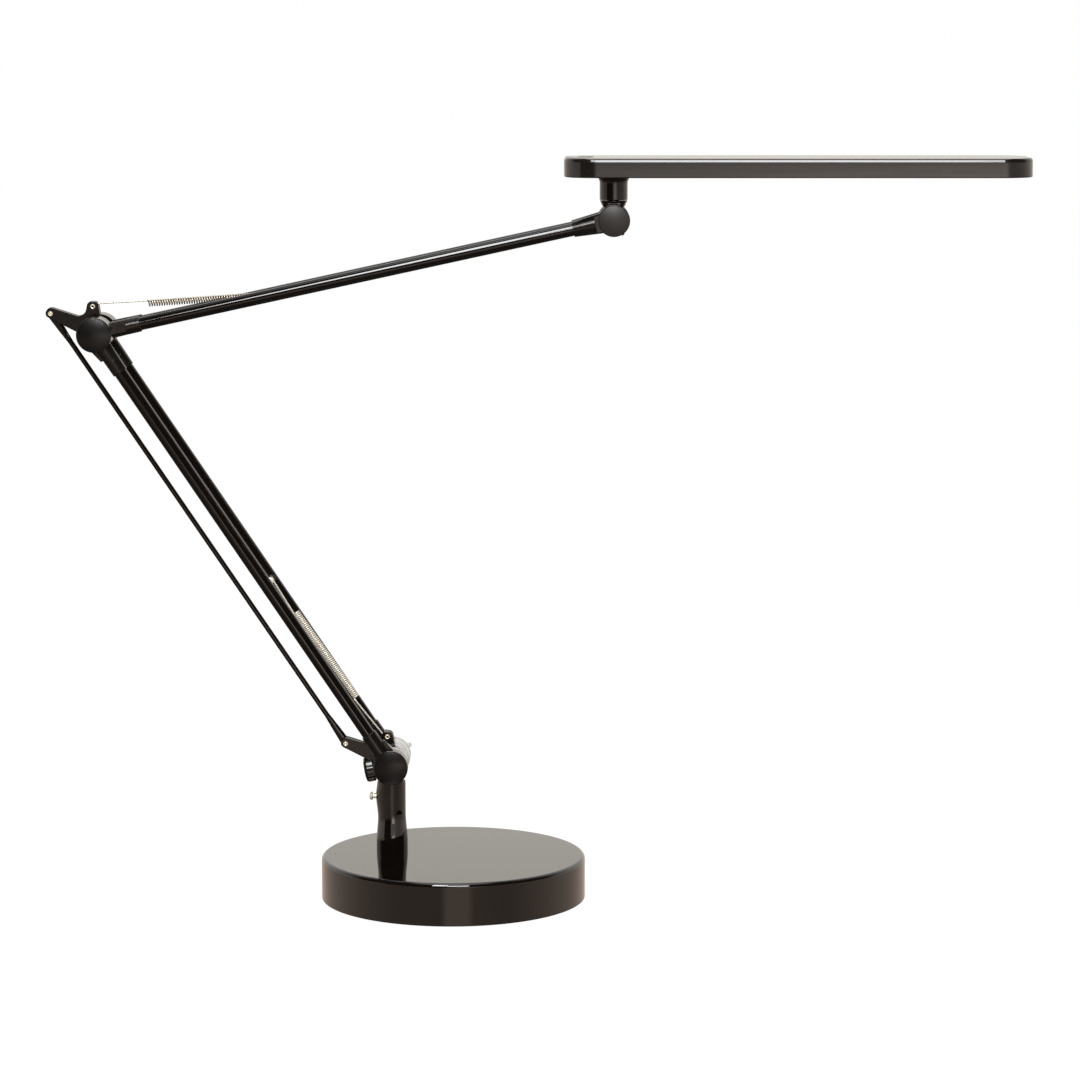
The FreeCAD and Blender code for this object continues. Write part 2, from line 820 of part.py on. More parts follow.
def knuckle():
    half = head_eye_back - side_gap
    low = shoulder_base_diameter / 2
    top = neck_floor - side_gap
    barrel = along_y(0, 0, -half, half, knuckle_diameter / 2)
    shoulder = turned([(0, 0), (low, 0), (low, shoulder_base_height), (neck_diameter / 2, top), (0, top)])
    flats = block(-neck_diameter, neck_diameter, -half, half, 0, shoulder_flat_height)
    crown = block(-neck_diameter, neck_diameter, -neck_diameter, neck_diameter, shoulder_flat_height, top)
    body = barrel.fuse(shoulder.common(flats)).fuse(shoulder.common(crown)).removeSplitter()
    pin_top = neck_floor + neck_pin_length + running_fit
    body = body.fuse(along_z(0, 0, top, pin_top, neck_pin_diameter / 2))
    body = body.cut(along_y(0, 0, -half, half, bolt_radius + running_fit))
    return body.cut(along_z(0, 0, pin_top - swivel_screw_length, pin_top, swivel_screw_diameter / 2))


def swivel_screw():
    seat = neck_floor + neck_pin_length + running_fit
    head = seat + swivel_washer_thickness
    body = along_z(0, 0, seat, head, swivel_washer_diameter / 2)
    body = body.fuse(along_z(0, 0, head, head + swivel_screw_head_thickness, swivel_screw_head / 2))
    return body.fuse(along_z(0, 0, seat - swivel_screw_length, seat, swivel_screw_diameter / 2))


def neck():
    radius = neck_diameter / 2
    wide = neck_flare_diameter / 2
    low = head_height - neck_flare_height
    bore = neck_pin_diameter / 2 + running_fit
    pocket = neck_counterbore / 2
    shelf = neck_floor + neck_pin_length
    step = wide - radius
    sweep = (neck_flare_height ** 2 + step ** 2) / (2 * step)
    half = math.asin(neck_flare_height / sweep) / 2
    hollow = Vector(radius + sweep - sweep * math.cos(half), 0, low + sweep * math.sin(half))
    waist = Vector(radius, 0, low)
    brim = Vector(wide, 0, head_height)
    edges = lines([Vector(bore, 0, neck_floor), Vector(radius, 0, neck_floor), waist])
    edges.append(Part.Arc(waist, hollow, brim).toShape())
    edges += lines([brim, Vector(pocket, 0, head_height), Vector(pocket, 0, shelf), Vector(bore, 0, shelf),
                    Vector(bore, 0, neck_floor)])
    return revolved(edges)


def rounded_bar(x0, x1, inset, z0, z1):
    """Flat bar centred on Y, with the head's plan corners drawn in by inset."""
    half = head_width / 2 - inset
    bar = block(x0, x1, -half, half, z0, z1)
    upright = [e for e in bar.Edges if abs(e.tangentAt(e.FirstParameter).z) > 0.9]
    return bar.makeFillet(head_corner_radius - inset, upright)


def head_housing():
    body = rounded_bar(0, head_length, 0, 0, head_thickness)
    top = [e for e in body.Edges if e.BoundBox.ZMin > head_thickness - 1e-3]
    body = body.makeChamfer(head_top_chamfer, top)
    low = [e for e in body.Edges if e.BoundBox.ZMax < 1e-3]
    body = body.makeFillet(head_bottom_radius, low)
    body = body.cut(rounded_bar(head_wall, head_length - head_wall, head_wall, 0, panel_thickness))
    wall = head_wall + ledge_width
    pocket = rounded_bar(wall, head_length - wall, wall, panel_thickness, ceiling)
    for x in cover_screw_x:
        for y in (-cover_screw_y, cover_screw_y):
            pocket = pocket.cut(along_z(x, y, panel_thickness, ceiling, cover_boss_diameter / 2))
    body = body.cut(pocket)
    body = body.cut(along_z(button_offset, 0, ceiling, head_thickness, button_diameter / 2 + button_gap))
    return body.cut(cover_screws())


def panel():
    """Full underside of the head inside its walls, before it is parted into end cover and diffuser."""
    inset = head_wall + panel_gap
    return rounded_bar(inset, head_length - inset, inset, 0, panel_thickness)


def cover_screws():
    screws = []
    for x in cover_screw_x:
        for y in (-cover_screw_y, cover_screw_y):
            head = along_z(x, y, 0, cover_screw_head_thickness, cover_screw_head / 2)
            shank = along_z(x, y, cover_screw_head_thickness, panel_thickness + cover_screw_grip,
                            cover_screw_diameter / 2)
            screws.append(head.fuse(shank))
    return Part.makeCompound(screws)


def end_cover():
    part = panel().common(block(0, end_cover_length, -head_width, head_width, 0, panel_thickness))
    return part.cut(cover_screws())


def diffuser():
    start = end_cover_length + panel_gap
    return panel().common(block(start, head_length, -head_width, head_width, 0, panel_thickness))


def led_board():
    half = led_board_width / 2
    end = head_length - led_board_margin
    return block(end_cover_length, end, -half, half, ceiling - led_board_thickness, ceiling)


def leds():
    top = ceiling - led_board_thickness
    step = (head_length - led_board_margin - end_cover_length) / led_columns
    chips = []
    for row in range(led_rows):
        y = (row - (led_rows - 1) / 2) * led_row_spacing
        for column in range(led_columns):
            x = end_cover_length + step * (column + 0.5)
            chip = Part.makeBox(led_length, led_width, led_height)
            chip.translate(Vector(x - led_length / 2, y - led_width / 2, top - led_height))
            chips.append(chip)
    return Part.makeCompound(chips)


def driver_board():
    floor = panel_thickness + driver_board_thickness
    half = driver_width / 2
    end = driver_offset + driver_length
    body = block(driver_offset, end, -half, half, panel_thickness, floor)
    side = coil_block_width / 2
    coil = block(end - coil_block_length, end, -side, side, floor, floor + coil_block_height)
    body = body.fuse(coil)
    can_x = end - coil_block_length - capacitor_diameter
    body = body.fuse(along_z(can_x, 0, floor, floor + capacitor_height, capacitor_diameter / 2))
    side = switch_size / 2
    switch = block(button_offset - side, button_offset + side, -side, side, floor, floor + switch_height)
    body = body.fuse(switch)
    plunger_top = ceiling - button_flange_thickness - button_travel - side_gap
    return body.fuse(along_z(button_offset, 0, floor, plunger_top, switch_plunger / 2))


def push_button():
    root = ceiling - button_flange_thickness
    body = along_z(button_offset, 0, root, head_thickness + button_proud, button_diameter / 2)
    return body.fuse(along_z(button_offset, 0, root, ceiling, button_flange / 2))


def main():
    os.makedirs("parts", exist_ok=True)
    export("base_cover", base_cover())
    export("base_plate", base_plate())
    export("base_weight", base_weight())
    export("base_pad", base_pad())
    export("base_screws", plate_screws())
    export("foot_bolt", foot_bolt())
    export("cord_gland", cord_gland())
    export("post", post())
    export("clamp_screw", clamp_screw())

    rod_rivet = rivet(rod_ear_x, rod_ear_z, rod_rivet_diameter, rod_rivet_head, 0)
    spring_rivet = rivet(spring_ear_x, spring_ear_z, spring_rivet_diameter, spring_rivet_head, eyelet_bore)
    export("lower_bracket", placed(lower_bracket(), pivot))
    export("lower_hub_rings", placed(hub_rings(), pivot))
    export("spindle", placed(spindle(), pivot))
    export("elbow_bracket", placed(bracket(2 * (inner_eye_back - side_gap)), elbow))
    for level, joint in (("lower", pivot), ("elbow", elbow)):
        export(level + "_rod_rivet", placed(rod_rivet, joint))
        export(level + "_spring_rivet", placed(spring_rivet, joint))
    rod_frame = Placement(elbow + Vector(rod_ear_x, 0, rod_ear_z), lower_frame.Rotation)
    export("link_rod", placed(link_rod(), rod_frame))

    pivot_end = Placement(Vector(lower_arm_length, 0, 0), Rotation(up, 180))
    head_end = Placement(Vector(upper_arm_length, 0, 0), Rotation(up, 180))
    turned_pivot_socket = front_of(placed(outer_socket(pivot_socket_reach), pivot_end))
    turned_head_socket = front_of(placed(head_socket(), head_end))
    lower_start = elbow_socket_reach - tube_seat
    lower_end = lower_arm_length - pivot_socket_reach + tube_seat
    upper_end = upper_arm_length - head_socket_reach + tube_seat
    pairs = (
        (lower_frame, "lower_elbow_socket", outer_socket(elbow_socket_reach)),
        (lower_frame, "lower_foot_socket", turned_pivot_socket),
        (lower_frame, "lower_tube", tube(lower_tube_y, lower_start, lower_end, lower_pin_x)),
        (upper_frame, "upper_elbow_socket", inner_socket()),
        (upper_frame, "upper_head_socket", turned_head_socket),
        (upper_frame, "upper_tube", tube(upper_tube_y, lower_start, upper_end, upper_pin_x)),
    )
    for frame, name, shape in pairs:
        export(name + "_rear", placed(shape, frame))
        export(name + "_front", placed(front_of(shape), frame))
    export("lower_spring_pin", placed(spring_pin(lower_pin_x, lower_tube_y), lower_frame))
    export("lower_pin_collars", placed(pin_collars(lower_pin_x, lower_tube_y), lower_frame))
    export("upper_pin_collars", placed(pin_collars(upper_pin_x, upper_tube_y), upper_frame))
    export("upper_spring_pin", placed(spring_pin(upper_pin_x, upper_tube_y), upper_frame))

    front_cap = front_of(cap(eye_diameter, outer_eye_face))
    export("lower_cap_front", placed(front_cap, pivot))
    export("elbow_cap_front", placed(front_cap, elbow))
    export("elbow_cap_rear", placed(cap(eye_diameter, outer_eye_face), elbow))
    export("head_cap_front", placed(front_of(cap(head_eye_diameter, head_eye_face)), head_joint))
    export("lower_bolt", placed(bolt(outer_eye_face, outer_eye_face + wing_hub_length), pivot))
    nut_face = outer_eye_face - recess_depth + bolt_head_thickness
    export("elbow_bolt", placed(bolt(outer_eye_face, nut_face), elbow))
    export("elbow_nut", placed(elbow_nut(outer_eye_face), elbow))
    export("head_bolt", placed(bolt(head_eye_face, head_eye_face + wing_hub_length), head_joint))
    export("lower_wing_nut", placed(wing_nut(outer_eye_face, lower_wing_angle), pivot))
    export("head_wing_nut", placed(wing_nut(head_eye_face, head_wing_angle), head_joint))

    lower_coil = Vector(lower_arm_length - lower_coil_distance, 0, lower_coil_z)
    upper_coil = Vector(upper_coil_x, 0, upper_coil_z)
    lower_ear = lower_frame.inverse().multVec(pivot + Vector(spring_ear_x, 0, spring_ear_z))
    upper_ear = upper_frame.inverse().multVec(elbow + Vector(spring_ear_x, 0, spring_ear_z))
    lead, coil = spring(lower_ear, lower_pin_x, lower_coil, lower_coil_length, lower_coil_turns)
    export("lower_spring_lead", placed(lead, lower_frame))
    export("lower_spring_coil", placed(coil, lower_frame))
    lead, coil = spring(upper_ear, upper_pin_x, upper_coil, upper_coil_length, upper_coil_turns)
    export("upper_spring_lead", placed(lead, upper_frame))
    export("upper_spring_coil", placed(coil, upper_frame))

    export("head_knuckle", placed(knuckle(), head_joint))
    export("swivel_screw", placed(swivel_screw(), head_joint))
    export("neck", placed(neck(), head_joint))
    export("head_housing", placed(head_housing(), head_corner))
    export("end_cover", placed(end_cover(), head_corner))
    export("diffuser", placed(diffuser(), head_corner))
    export("led_board", placed(led_board(), head_corner))
    export("leds", placed(leds(), head_corner))
    export("driver_board", placed(driver_board(), head_corner))
    export("push_button", placed(push_button(), head_corner))
    export("cover_screws", placed(cover_screws(), head_corner))


main()
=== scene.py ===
import json
import math

import bmesh
import bpy
from mathutils import Matrix, Vector


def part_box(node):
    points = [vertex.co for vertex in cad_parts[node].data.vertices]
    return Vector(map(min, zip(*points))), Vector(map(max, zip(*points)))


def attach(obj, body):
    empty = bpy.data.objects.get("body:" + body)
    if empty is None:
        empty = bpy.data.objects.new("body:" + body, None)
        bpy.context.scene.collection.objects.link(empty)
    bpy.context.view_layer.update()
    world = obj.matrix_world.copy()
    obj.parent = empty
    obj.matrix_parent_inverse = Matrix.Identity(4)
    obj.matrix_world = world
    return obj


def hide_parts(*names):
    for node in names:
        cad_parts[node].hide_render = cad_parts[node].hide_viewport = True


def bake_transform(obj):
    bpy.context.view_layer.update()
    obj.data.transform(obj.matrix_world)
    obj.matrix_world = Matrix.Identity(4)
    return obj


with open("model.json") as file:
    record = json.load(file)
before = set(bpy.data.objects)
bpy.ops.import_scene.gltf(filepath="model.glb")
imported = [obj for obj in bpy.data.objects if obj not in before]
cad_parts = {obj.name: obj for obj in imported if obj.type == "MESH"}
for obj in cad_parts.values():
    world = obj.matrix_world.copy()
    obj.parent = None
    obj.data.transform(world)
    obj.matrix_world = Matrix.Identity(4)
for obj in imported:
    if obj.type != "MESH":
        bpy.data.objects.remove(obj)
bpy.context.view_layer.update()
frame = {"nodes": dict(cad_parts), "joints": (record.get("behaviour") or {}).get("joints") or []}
print("frame loaded")

# the part's lengths are millimetres here and become metres when a piece is finished;
# camera, floor and lights are in metres
metre = 1000
upAxis = Vector((0, 0, 1))
acrossAxis = Vector((0, 1, 0))
alongX = Matrix.Rotation(math.pi / 2, 4, "Y")   # turns +Z into +X
toLeft = Matrix.Rotation(-math.pi / 2, 4, "Y")  # turns +Z into -X
toBack = Matrix.Rotation(-math.pi / 2, 4, "X")  # turns +Z into +Y
toFront = Matrix.Rotation(math.pi / 2, 4, "X")  # turns +Z into -Y
frontSide = Matrix.Scale(-1, 4, acrossAxis)     # mirrors a rear piece to the front


def jointPlace(name):
    joint = [j for j in frame["joints"] if j["name"] == name][0]
    return Vector(joint["pos_m"]) * metre


def armFrame(start, end):
    # X along the arm, Y across it
    along = (end - start).normalized()
    axes = Matrix((along, acrossAxis, along.cross(acrossAxis))).transposed()
    return Matrix.Translation(start) @ axes.to_4x4()


pivot = jointPlace("lower_arm_lean")
elbow = jointPlace("upper_arm_lift")
headJoint = jointPlace("head_tilt")
lowerArm = armFrame(elbow, pivot)
upperArm = armFrame(elbow, headJoint)
lowerLength = (pivot - elbow).length
upperLength = (headJoint - elbow).length
headCorner = Vector(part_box("head_housing")[0]) * metre
headCorner.y = pivot.y


# camera

viewpoint = {"place": (0.0658, -2.8, 0.663), "pitch": 7.91, "lens": 125.4, "sensor": 36}

camera = bpy.data.objects.new("camera", bpy.data.cameras.new("camera"))
camera.data.lens = viewpoint["lens"]
camera.data.sensor_width = viewpoint["sensor"]
camera.location = viewpoint["place"]
camera.rotation_euler = (math.radians(90 - viewpoint["pitch"]), 0, 0)
bpy.context.collection.objects.link(camera)
bpy.context.scene.camera = camera
print("camera set")


# materials

noiseRange = (0.3, 0.7)  # where nearly all values of a noise lie


def linear(hexColour):
    parts = [int(hexColour[i:i + 2], 16) / 255 for i in (1, 3, 5)]
    return tuple(p / 12.92 if p <= 0.04045 else ((p + 0.055) / 1.055) ** 2.4 for p in parts) + (1.0,)


def addNode(tree, kind, inputs=None, **settings):
    node = tree.nodes.new(kind)
    for key, value in settings.items():
        setattr(node, key, value)
    for key, value in (inputs or {}).items():
        if isinstance(value, bpy.types.NodeSocket):
            tree.links.new(value, node.inputs[key])
        else:
            node.inputs[key].default_value = value
    return node


def noise(tree, place, scale, detail):
    return addNode(tree, "ShaderNodeTexNoise", {"Vector": place, "Scale": scale, "Detail": detail}).outputs[0]


def mixColour(tree, share, first, second):
    return addNode(tree, "ShaderNodeMix", {0: share, 6: first, 7: second}, data_type="RGBA").outputs[2]


def mapRange(tree, value, before, after):
    return addNode(tree, "ShaderNodeMapRange", {"Value": value, "From Min": before[0], "From Max": before[1],
                                                "To Min": after[0], "To Max": after[1]}).outputs[0]


def maths(tree, operation, *values):
    return addNode(tree, "ShaderNodeMath", dict(enumerate(values)), operation=operation).outputs[0]


def newMaterial(name):
    material = bpy.data.materials.new(name)
    material.use_nodes = True
    tree = material.node_tree
    tree.nodes.clear()
    shader = addNode(tree, "ShaderNodeBsdfPrincipled")
    addNode(tree, "ShaderNodeOutputMaterial", {"Surface": shader.outputs[0]})
    place = addNode(tree, "ShaderNodeTexCoord").outputs["Object"]
    return material, tree, shader, place


def setTone(tree, shader, pattern, tones):
    tone = mixColour(tree, pattern, linear(tones[0]), linear(tones[1]))
    tree.links.new(tone, shader.inputs["Base Color"])


def setGloss(tree, shader, pattern, roughness):
    tree.links.new(mapRange(tree, pattern, noiseRange, roughness), shader.inputs["Roughness"])


def setRelief(tree, shader, pattern, strength, depth):
    bump = addNode(tree, "ShaderNodeBump", {"Height": pattern, "Strength": strength, "Distance": depth / metre})
    tree.links.new(bump.outputs[0], shader.inputs["Normal"])


def plainFinish(name, tones, patch, roughness, ior, grain, height):
    # tones vary over patches and roughness over a third of that; grain is the spacing of the surface's fine relief
    material, tree, shader, place = newMaterial(name)
    setTone(tree, shader, noise(tree, place, metre / patch, 3), tones)
    setGloss(tree, shader, noise(tree, place, 3 * metre / patch, 5), roughness)
    setRelief(tree, shader, noise(tree, place, metre / grain, 2), height, 0.2)
    shader.inputs["IOR"].default_value = ior
    return material


def platedFinish(name, tones, patch, roughness, spot, metal=1.0):
    # tones vary over patches and roughness over spots; a metal share below 1 is for dulled plating
    material, tree, shader, place = newMaterial(name)
    setTone(tree, shader, noise(tree, place, metre / patch, 4), tones)
    setGloss(tree, shader, noise(tree, place, metre / spot, 3), roughness)
    shader.inputs["Metallic"].default_value = metal
    return material


def brushedFinish(name, tones, roughness, length, width):
    # hair lines along X, drawn coarser than real ones so that they show
    material, tree, shader, place = newMaterial(name)
    scale = (metre / length, metre / width, metre / width)
    stretch = addNode(tree, "ShaderNodeMapping", {"Vector": place, "Scale": scale})
    hair = noise(tree, stretch.outputs[0], 1, 4)
    setTone(tree, shader, hair, tones)
    setGloss(tree, shader, hair, roughness)
    setRelief(tree, shader, hair, 0.03, 0.1)
    return material


# stove-dried enamel on steel, sprayed: mirror gloss over a warm black, with a faint orange peel 4 mm wide
glossBlack = plainFinish("gloss_black_enamel", ("#0c0805", "#0f0a07"), 60, (0.02, 0.04), 1.6, 4.0, 0.01)
# the same enamel on drawn tube, handled more: slightly softer lines of light
tubeBlack = plainFinish("gloss_black_tube_enamel", ("#0a0705", "#0d0907"), 40, (0.05, 0.08), 1.52, 2.5, 0.01)
# the same enamel rubbed satin on the neck
neckBlack = plainFinish("satin_black_enamel", ("#0c0805", "#0f0a07"), 40, (0.16, 0.2), 1.55, 3.0, 0.01)
# satin paint on pressed steel plate: crisp edges, broad dim highlights
earBlack = plainFinish("satin_black_plate_paint", ("#0c0907", "#100c0a"), 30, (0.1, 0.15), 1.5, 1.2, 0.02)
# moulded ABS with a fine spark-eroded grain
socketBlack = plainFinish("moulded_black_abs", ("#0e0b08", "#130f0c"), 25, (0.17, 0.22), 1.5, 0.6, 0.03)
# moulded polypropylene cap, polished mould but rubbed satin in use
capBlack = plainFinish("satin_black_polypropylene", ("#0b0907", "#0e0b09"), 16, (0.27, 0.31), 1.38, 0.8, 0.02)
# the same cap by the head, painted greyer: the lighter tone is painted light, standing in for the brighter reflection
# the head cap catches; its roughness is also higher
litHeadCapBlack = plainFinish("painted_light_black_polypropylene", ("#1c1816", "#231f1c"), 16, (0.42, 0.48), 1.49, 0.8, 0.02)
# non-slip pad of foamed rubber: dead matt, open pores
rubberBlack = plainFinish("foamed_rubber", ("#191817", "#242220"), 12, (0.8, 0.95), 1.45, 0.9, 0.6)
# sand-cast iron, oiled
castIron = plainFinish("cast_iron", ("#2a2826", "#3b3734"), 20, (0.6, 0.8), 1.5, 1.5, 0.8)
# nickel-plated spring wire: ivory bright, slightly dulled
springNickel = platedFinish("nickel_plated_wire", ("#e8e1d3", "#f3ede1"), 40, (0.34, 0.4), 8, 0.6)
# the same nickel wire for the upper spring, painted darker: the darker turns are painted shade, and its fuller metal
# share gives the bright glints
shadePaintedWire = platedFinish("shade_painted_spring_wire", ("#bdb3a2", "#cfc6b6"), 40, (0.24, 0.3), 8, 0.92)
# nickel over turned steel at the lower joint: grey, bead-blasted
hubNickel = platedFinish("blasted_nickel", ("#cbc9c5", "#d7d5d1"), 25, (0.4, 0.46), 3, 0.3)
# brass-washed rivets and thumb screw, polished
rivetNickel = platedFinish("brassy_nickel", ("#e9dcc4", "#f3ead6"), 20, (0.22, 0.28), 6, 0.6)
# zinc-plated steel of bolts and screws
zincSteel = platedFinish("zinc_plated_steel", ("#a9a9a4", "#c6c6c2"), 6, (0.28, 0.45), 0.9)
# extruded aluminium, brushed along its length and anodised black
headBlack = brushedFinish("brushed_black_anodised", ("#0c0a08", "#1c1815"), (0.1, 0.17), 70, 0.9)
# opal acrylic: milky, with a faint moulded grain
opal = plainFinish("opal_acrylic", ("#e6e4de", "#eeece7"), 80, (0.3, 0.38), 1.49, 0.7, 0.03)
# white solder resist over glass fibre
boardWhite = plainFinish("coated_circuit_board", ("#d8d9d3", "#e4e5e0"), 8, (0.35, 0.5), 1.5, 0.5, 0.1)
# phosphor on led chips
phosphor = plainFinish("led_phosphor", ("#d9b53c", "#e6c85a"), 2, (0.5, 0.6), 1.45, 0.3, 0.1)
print("materials made")


# mesh helpers: a profile is a list of (radius, height, rounding), an outline a list of (x, z, rounding)

arcSegments = {"degrees": 9, "fewest": 2, "most": 14}
weldTurned, weldFinished, sameLevel = 1e-4, 1e-5, 1e-4


def vertsOf(geometry):
    return [g for g in geometry if isinstance(g, bmesh.types.BMVert)]


def move(bm, matrix):
    bmesh.ops.transform(bm, matrix=matrix, verts=bm.verts)
    return bm


def ringEdges(ring):
    kept = set(ring)
    return [e for e in {e for v in ring for e in v.link_edges} if e.verts[0] in kept and e.verts[1] in kept]


def bevelEdges(bm, edges, offset, segments, clamp=False):
    bmesh.ops.bevel(bm, geom=edges, offset=offset, offset_type="OFFSET", segments=segments, profile=0.5,
                    affect="EDGES", clamp_overlap=clamp, material=-1)


def roundCorners(bm, corners):
    for vert, radius in corners:
        if radius:
            ways = [(edge.other_vert(vert).co - vert.co).normalized() for edge in vert.link_edges]
            half = ways[0].angle(ways[1]) / 2
            arcs = round(math.degrees(math.pi - 2 * half) / arcSegments["degrees"])
            steps = max(arcSegments["fewest"], min(arcSegments["most"], arcs))
            bmesh.ops.bevel(bm, geom=[vert], offset=radius / math.tan(half), offset_type="OFFSET",
                            segments=steps, profile=0.5, affect="VERTICES", material=-1)


def turned(profile, place=Matrix(), steps=72, closed=False):
    # the profile is spun about Z
    bm = bmesh.new()
    verts = [bm.verts.new((r, 0, z)) for r, z, soft in profile]
    for pair in zip(verts, verts[1:]):
        bm.edges.new(pair)
    if closed:
        bm.edges.new((verts[-1], verts[0]))
    roundCorners(bm, [(v, c[2]) for v, c in zip(verts, profile)])
    bmesh.ops.spin(bm, geom=bm.verts[:] + bm.edges[:], cent=(0, 0, 0), axis=upAxis, angle=2 * math.pi,
                   steps=steps, use_merge=True)
    bmesh.ops.remove_doubles(bm, verts=bm.verts, dist=weldTurned)
    return move(bm, place)


def drum(radius, start, end, edges=(0, 0), place=Matrix(), steps=72):
    return turned([(0, start, 0), (radius, start, edges[0]), (radius, end, edges[1]), (0, end, 0)], place, steps)


def plate(outline, start, end, edge=0.0):
    # the plate is as thick as from start to end along Y
    bm = bmesh.new()
    verts = [bm.verts.new((x, start, z)) for x, z, soft in outline]
    bm.faces.new(verts)
    roundCorners(bm, [(v, c[2]) for v, c in zip(verts, outline)])
    grown = bmesh.ops.extrude_face_region(bm, geom=bm.faces[:])["geom"]
    bmesh.ops.translate(bm, vec=(0, end - start, 0), verts=vertsOf(grown))
    if edge:
        rims = [e for e in bm.edges if abs((e.verts[0].co - e.verts[1].co).y) < sameLevel]
        bevelEdges(bm, rims, edge, 3, clamp=True)
    return bm


def join(bm, *others):
    for other in others:
        mesh = bpy.data.meshes.new("joining")
        other.to_mesh(mesh)
        bm.from_mesh(mesh)
        bpy.data.meshes.remove(mesh)
        other.free()
    return bm


def finishPiece(bm, name, material, body, nodes=(), sharp=35, flatten=True):
    bmesh.ops.remove_doubles(bm, verts=bm.verts, dist=weldFinished)
    bmesh.ops.recalc_face_normals(bm, faces=bm.faces)
    bmesh.ops.scale(bm, vec=(1 / metre,) * 3, verts=bm.verts)
    mesh = bpy.data.meshes.new(name)
    bm.to_mesh(mesh)
    bm.free()
    mesh.shade_smooth()
    mesh.set_sharp_from_angle(angle=math.radians(sharp))
    mesh.materials.append(material)
    piece = bpy.data.objects.new(name, mesh)
    bpy.context.collection.objects.link(piece)
    if flatten:  # broad faces keep their own normals beside small roundings
        weigh = piece.modifiers.new("face_weighted_normals", "WEIGHTED_NORMAL")
        weigh.keep_sharp = True
    if body:
        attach(piece, body)
    if nodes:
        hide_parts(*nodes)
    return piece


# base and post

baseSize = {"steps": 180, "profile": [(0, 33, 0), (100, 33, 3), (100, 0.8, 0.5), (97.5, 0.8, 0.5), (97.5, 30.5, 0),
                                      (0, 30.5, 0)]}
glandSize = {"place": (0, 97.5, 16), "profile": [(2.5, -6, 0), (6, -6, 0.5), (6, 2.5, 0), (8, 1.8, 0), (8, 4.1, 0.8),
                                                 (3.7, 4.1, 0.6), (2.5, 2.5, 0.4)]}
postSize = {"steps": 96, "skin": 10, "longEdge": 15, "cuts": 28,
            "profile": [(0, 33, 0), (12, 33, 0), (12, 40.5, 70), (10.5, 56, 70), (10.5, 84.7, 0.6), (6.1, 84.7, 0.3),
                        (6.1, 80.7, 0), (0, 80.7, 0)]}
bossSize = {"reach": 1.7, "wide": 6.0, "high": 8.0}
clampSize = {"height": 72.8, "steps": 48, "profile": [(0, 6.1, 0), (2, 6.1, 0), (2, 14.5, 0), (2.9, 14.8, 0.2),
                                                      (3.3, 15.4, 0.3), (3, 17.2, 1.8), (0, 17.2, 0)]}


def makeBase():
    cover = turned(baseSize["profile"], steps=baseSize["steps"])
    finishPiece(cover, "base_cover_shell", glossBlack, "base", ["base_cover"])
    gland = turned(glandSize["profile"], Matrix.Translation(glandSize["place"]) @ toBack, closed=True)
    finishPiece(gland, "cord_gland_bush", socketBlack, "base", ["cord_gland"])


def makePost():
    post = turned(postSize["profile"], steps=postSize["steps"])
    long = [e for e in post.edges if abs(e.verts[0].co.z - e.verts[1].co.z) > postSize["longEdge"]]
    bmesh.ops.subdivide_edges(post, edges=long, cuts=postSize["cuts"], use_grid_fill=True)
    for vert in post.verts:  # boss of the clamp screw, drawn out of the left side
        if vert.co.x < 0 and vert.co.to_2d().length > postSize["skin"]:
            high = (vert.co.z - clampSize["height"]) / bossSize["high"]
            wide = vert.co.y / bossSize["wide"]
            vert.co.x -= bossSize["reach"] * math.exp(-(high ** 2 + wide ** 2) / 2)
    move(post, Matrix.Translation((pivot.x, pivot.y, 0)))
    finishPiece(post, "post_column", glossBlack, "base", ["post"])
    at = Matrix.Translation((pivot.x, pivot.y, clampSize["height"])) @ toLeft
    screw = turned(clampSize["profile"], at, clampSize["steps"])
    finishPiece(screw, "clamp_thumb_screw", rivetNickel, "base", ["clamp_screw"])


makeBase()
makePost()
print("base and post made")


# brackets with their ears, rivets and the link rod

bracketSize = {"hub": 10, "hubEdges": (0.4, 0.4), "hubHalf": 16.3, "elbowHubHalf": 8.8,
               "earHalf": 4.3, "slotHalf": 1.6, "earEdge": 0.35, "webLap": 0.2,
               "ear": [(-40.17, 13.17, 3.4), (-35.98, 19.52, 3.4), (-9.4, 11.0, 6.0), (-6.95, 23.5, 3.5),
                       (0.85, 23.5, 3.5), (3.2, 8.4, 0), (0, 0, 0), (-8.8, -3.0, 0)],
               "web": [(-13.6, -0.4, 0), (-11.6, 4.6, 0), (-8.8, 11.4, 2), (-6.2, 12.8, 0), (1.2, 12.8, 0),
                       (2.6, 9.0, 0), (0, 0, 0), (-8.8, -3.0, 0)]}
collarSize = {"radius": 9, "foot": -14.8, "edges": (0, 0.5)}
heelSize = {"radius": 9.7, "core": 7.5, "flutes": 9, "stepsPerFlute": 12, "depth": 0.5, "drop": 3, "fall": 11,
            "profile": [(0, 0, 0), (6, 0, 0), (6, 13.5, 0), (9.7, 13.5, 0.8), (9.7, 21, 2.4), (0, 21, 0)]}
drumSize = {"radius": 12.2, "start": 6.4, "edges": (0.5, 0.3), "steps": 96}
# half profiles, mirrored to the other end of the rivet
rivetSize = {"rod": {"place": (-34.9, 14.25), "half": [(0, -4.95, 0), (0.8, -5, 0.3), (1.2, -5.3, 0.3),
                                                       (1.9, -4.75, 0.5), (1.9, -4.3, 0), (1.2, -4.3, 0)]},
             "spring": {"place": (-3.05, 19.6), "half": [(0.8, -5.1, 0.2), (1.3, -5.3, 0.2), (1.95, -4.7, 0.5),
                                                         (1.95, -4.3, 0), (1.3, -4.3, 0)]},
             "steps": 48}
# flattened round wire: distance along the rod, half width and half thickness, mirrored to the other end
rodSize = {"sides": 24, "stations": [(-3.5, 0.5, 1.08), (-3.22, 1.4, 1.2), (-2.625, 2.31, 1.2), (-1.575, 3.115, 1.2),
                                     (0, 3.5, 1.2), (13, 2.8, 1.2), (22.1, 2.205, 1.296), (26, 1.95, 1.95)]}


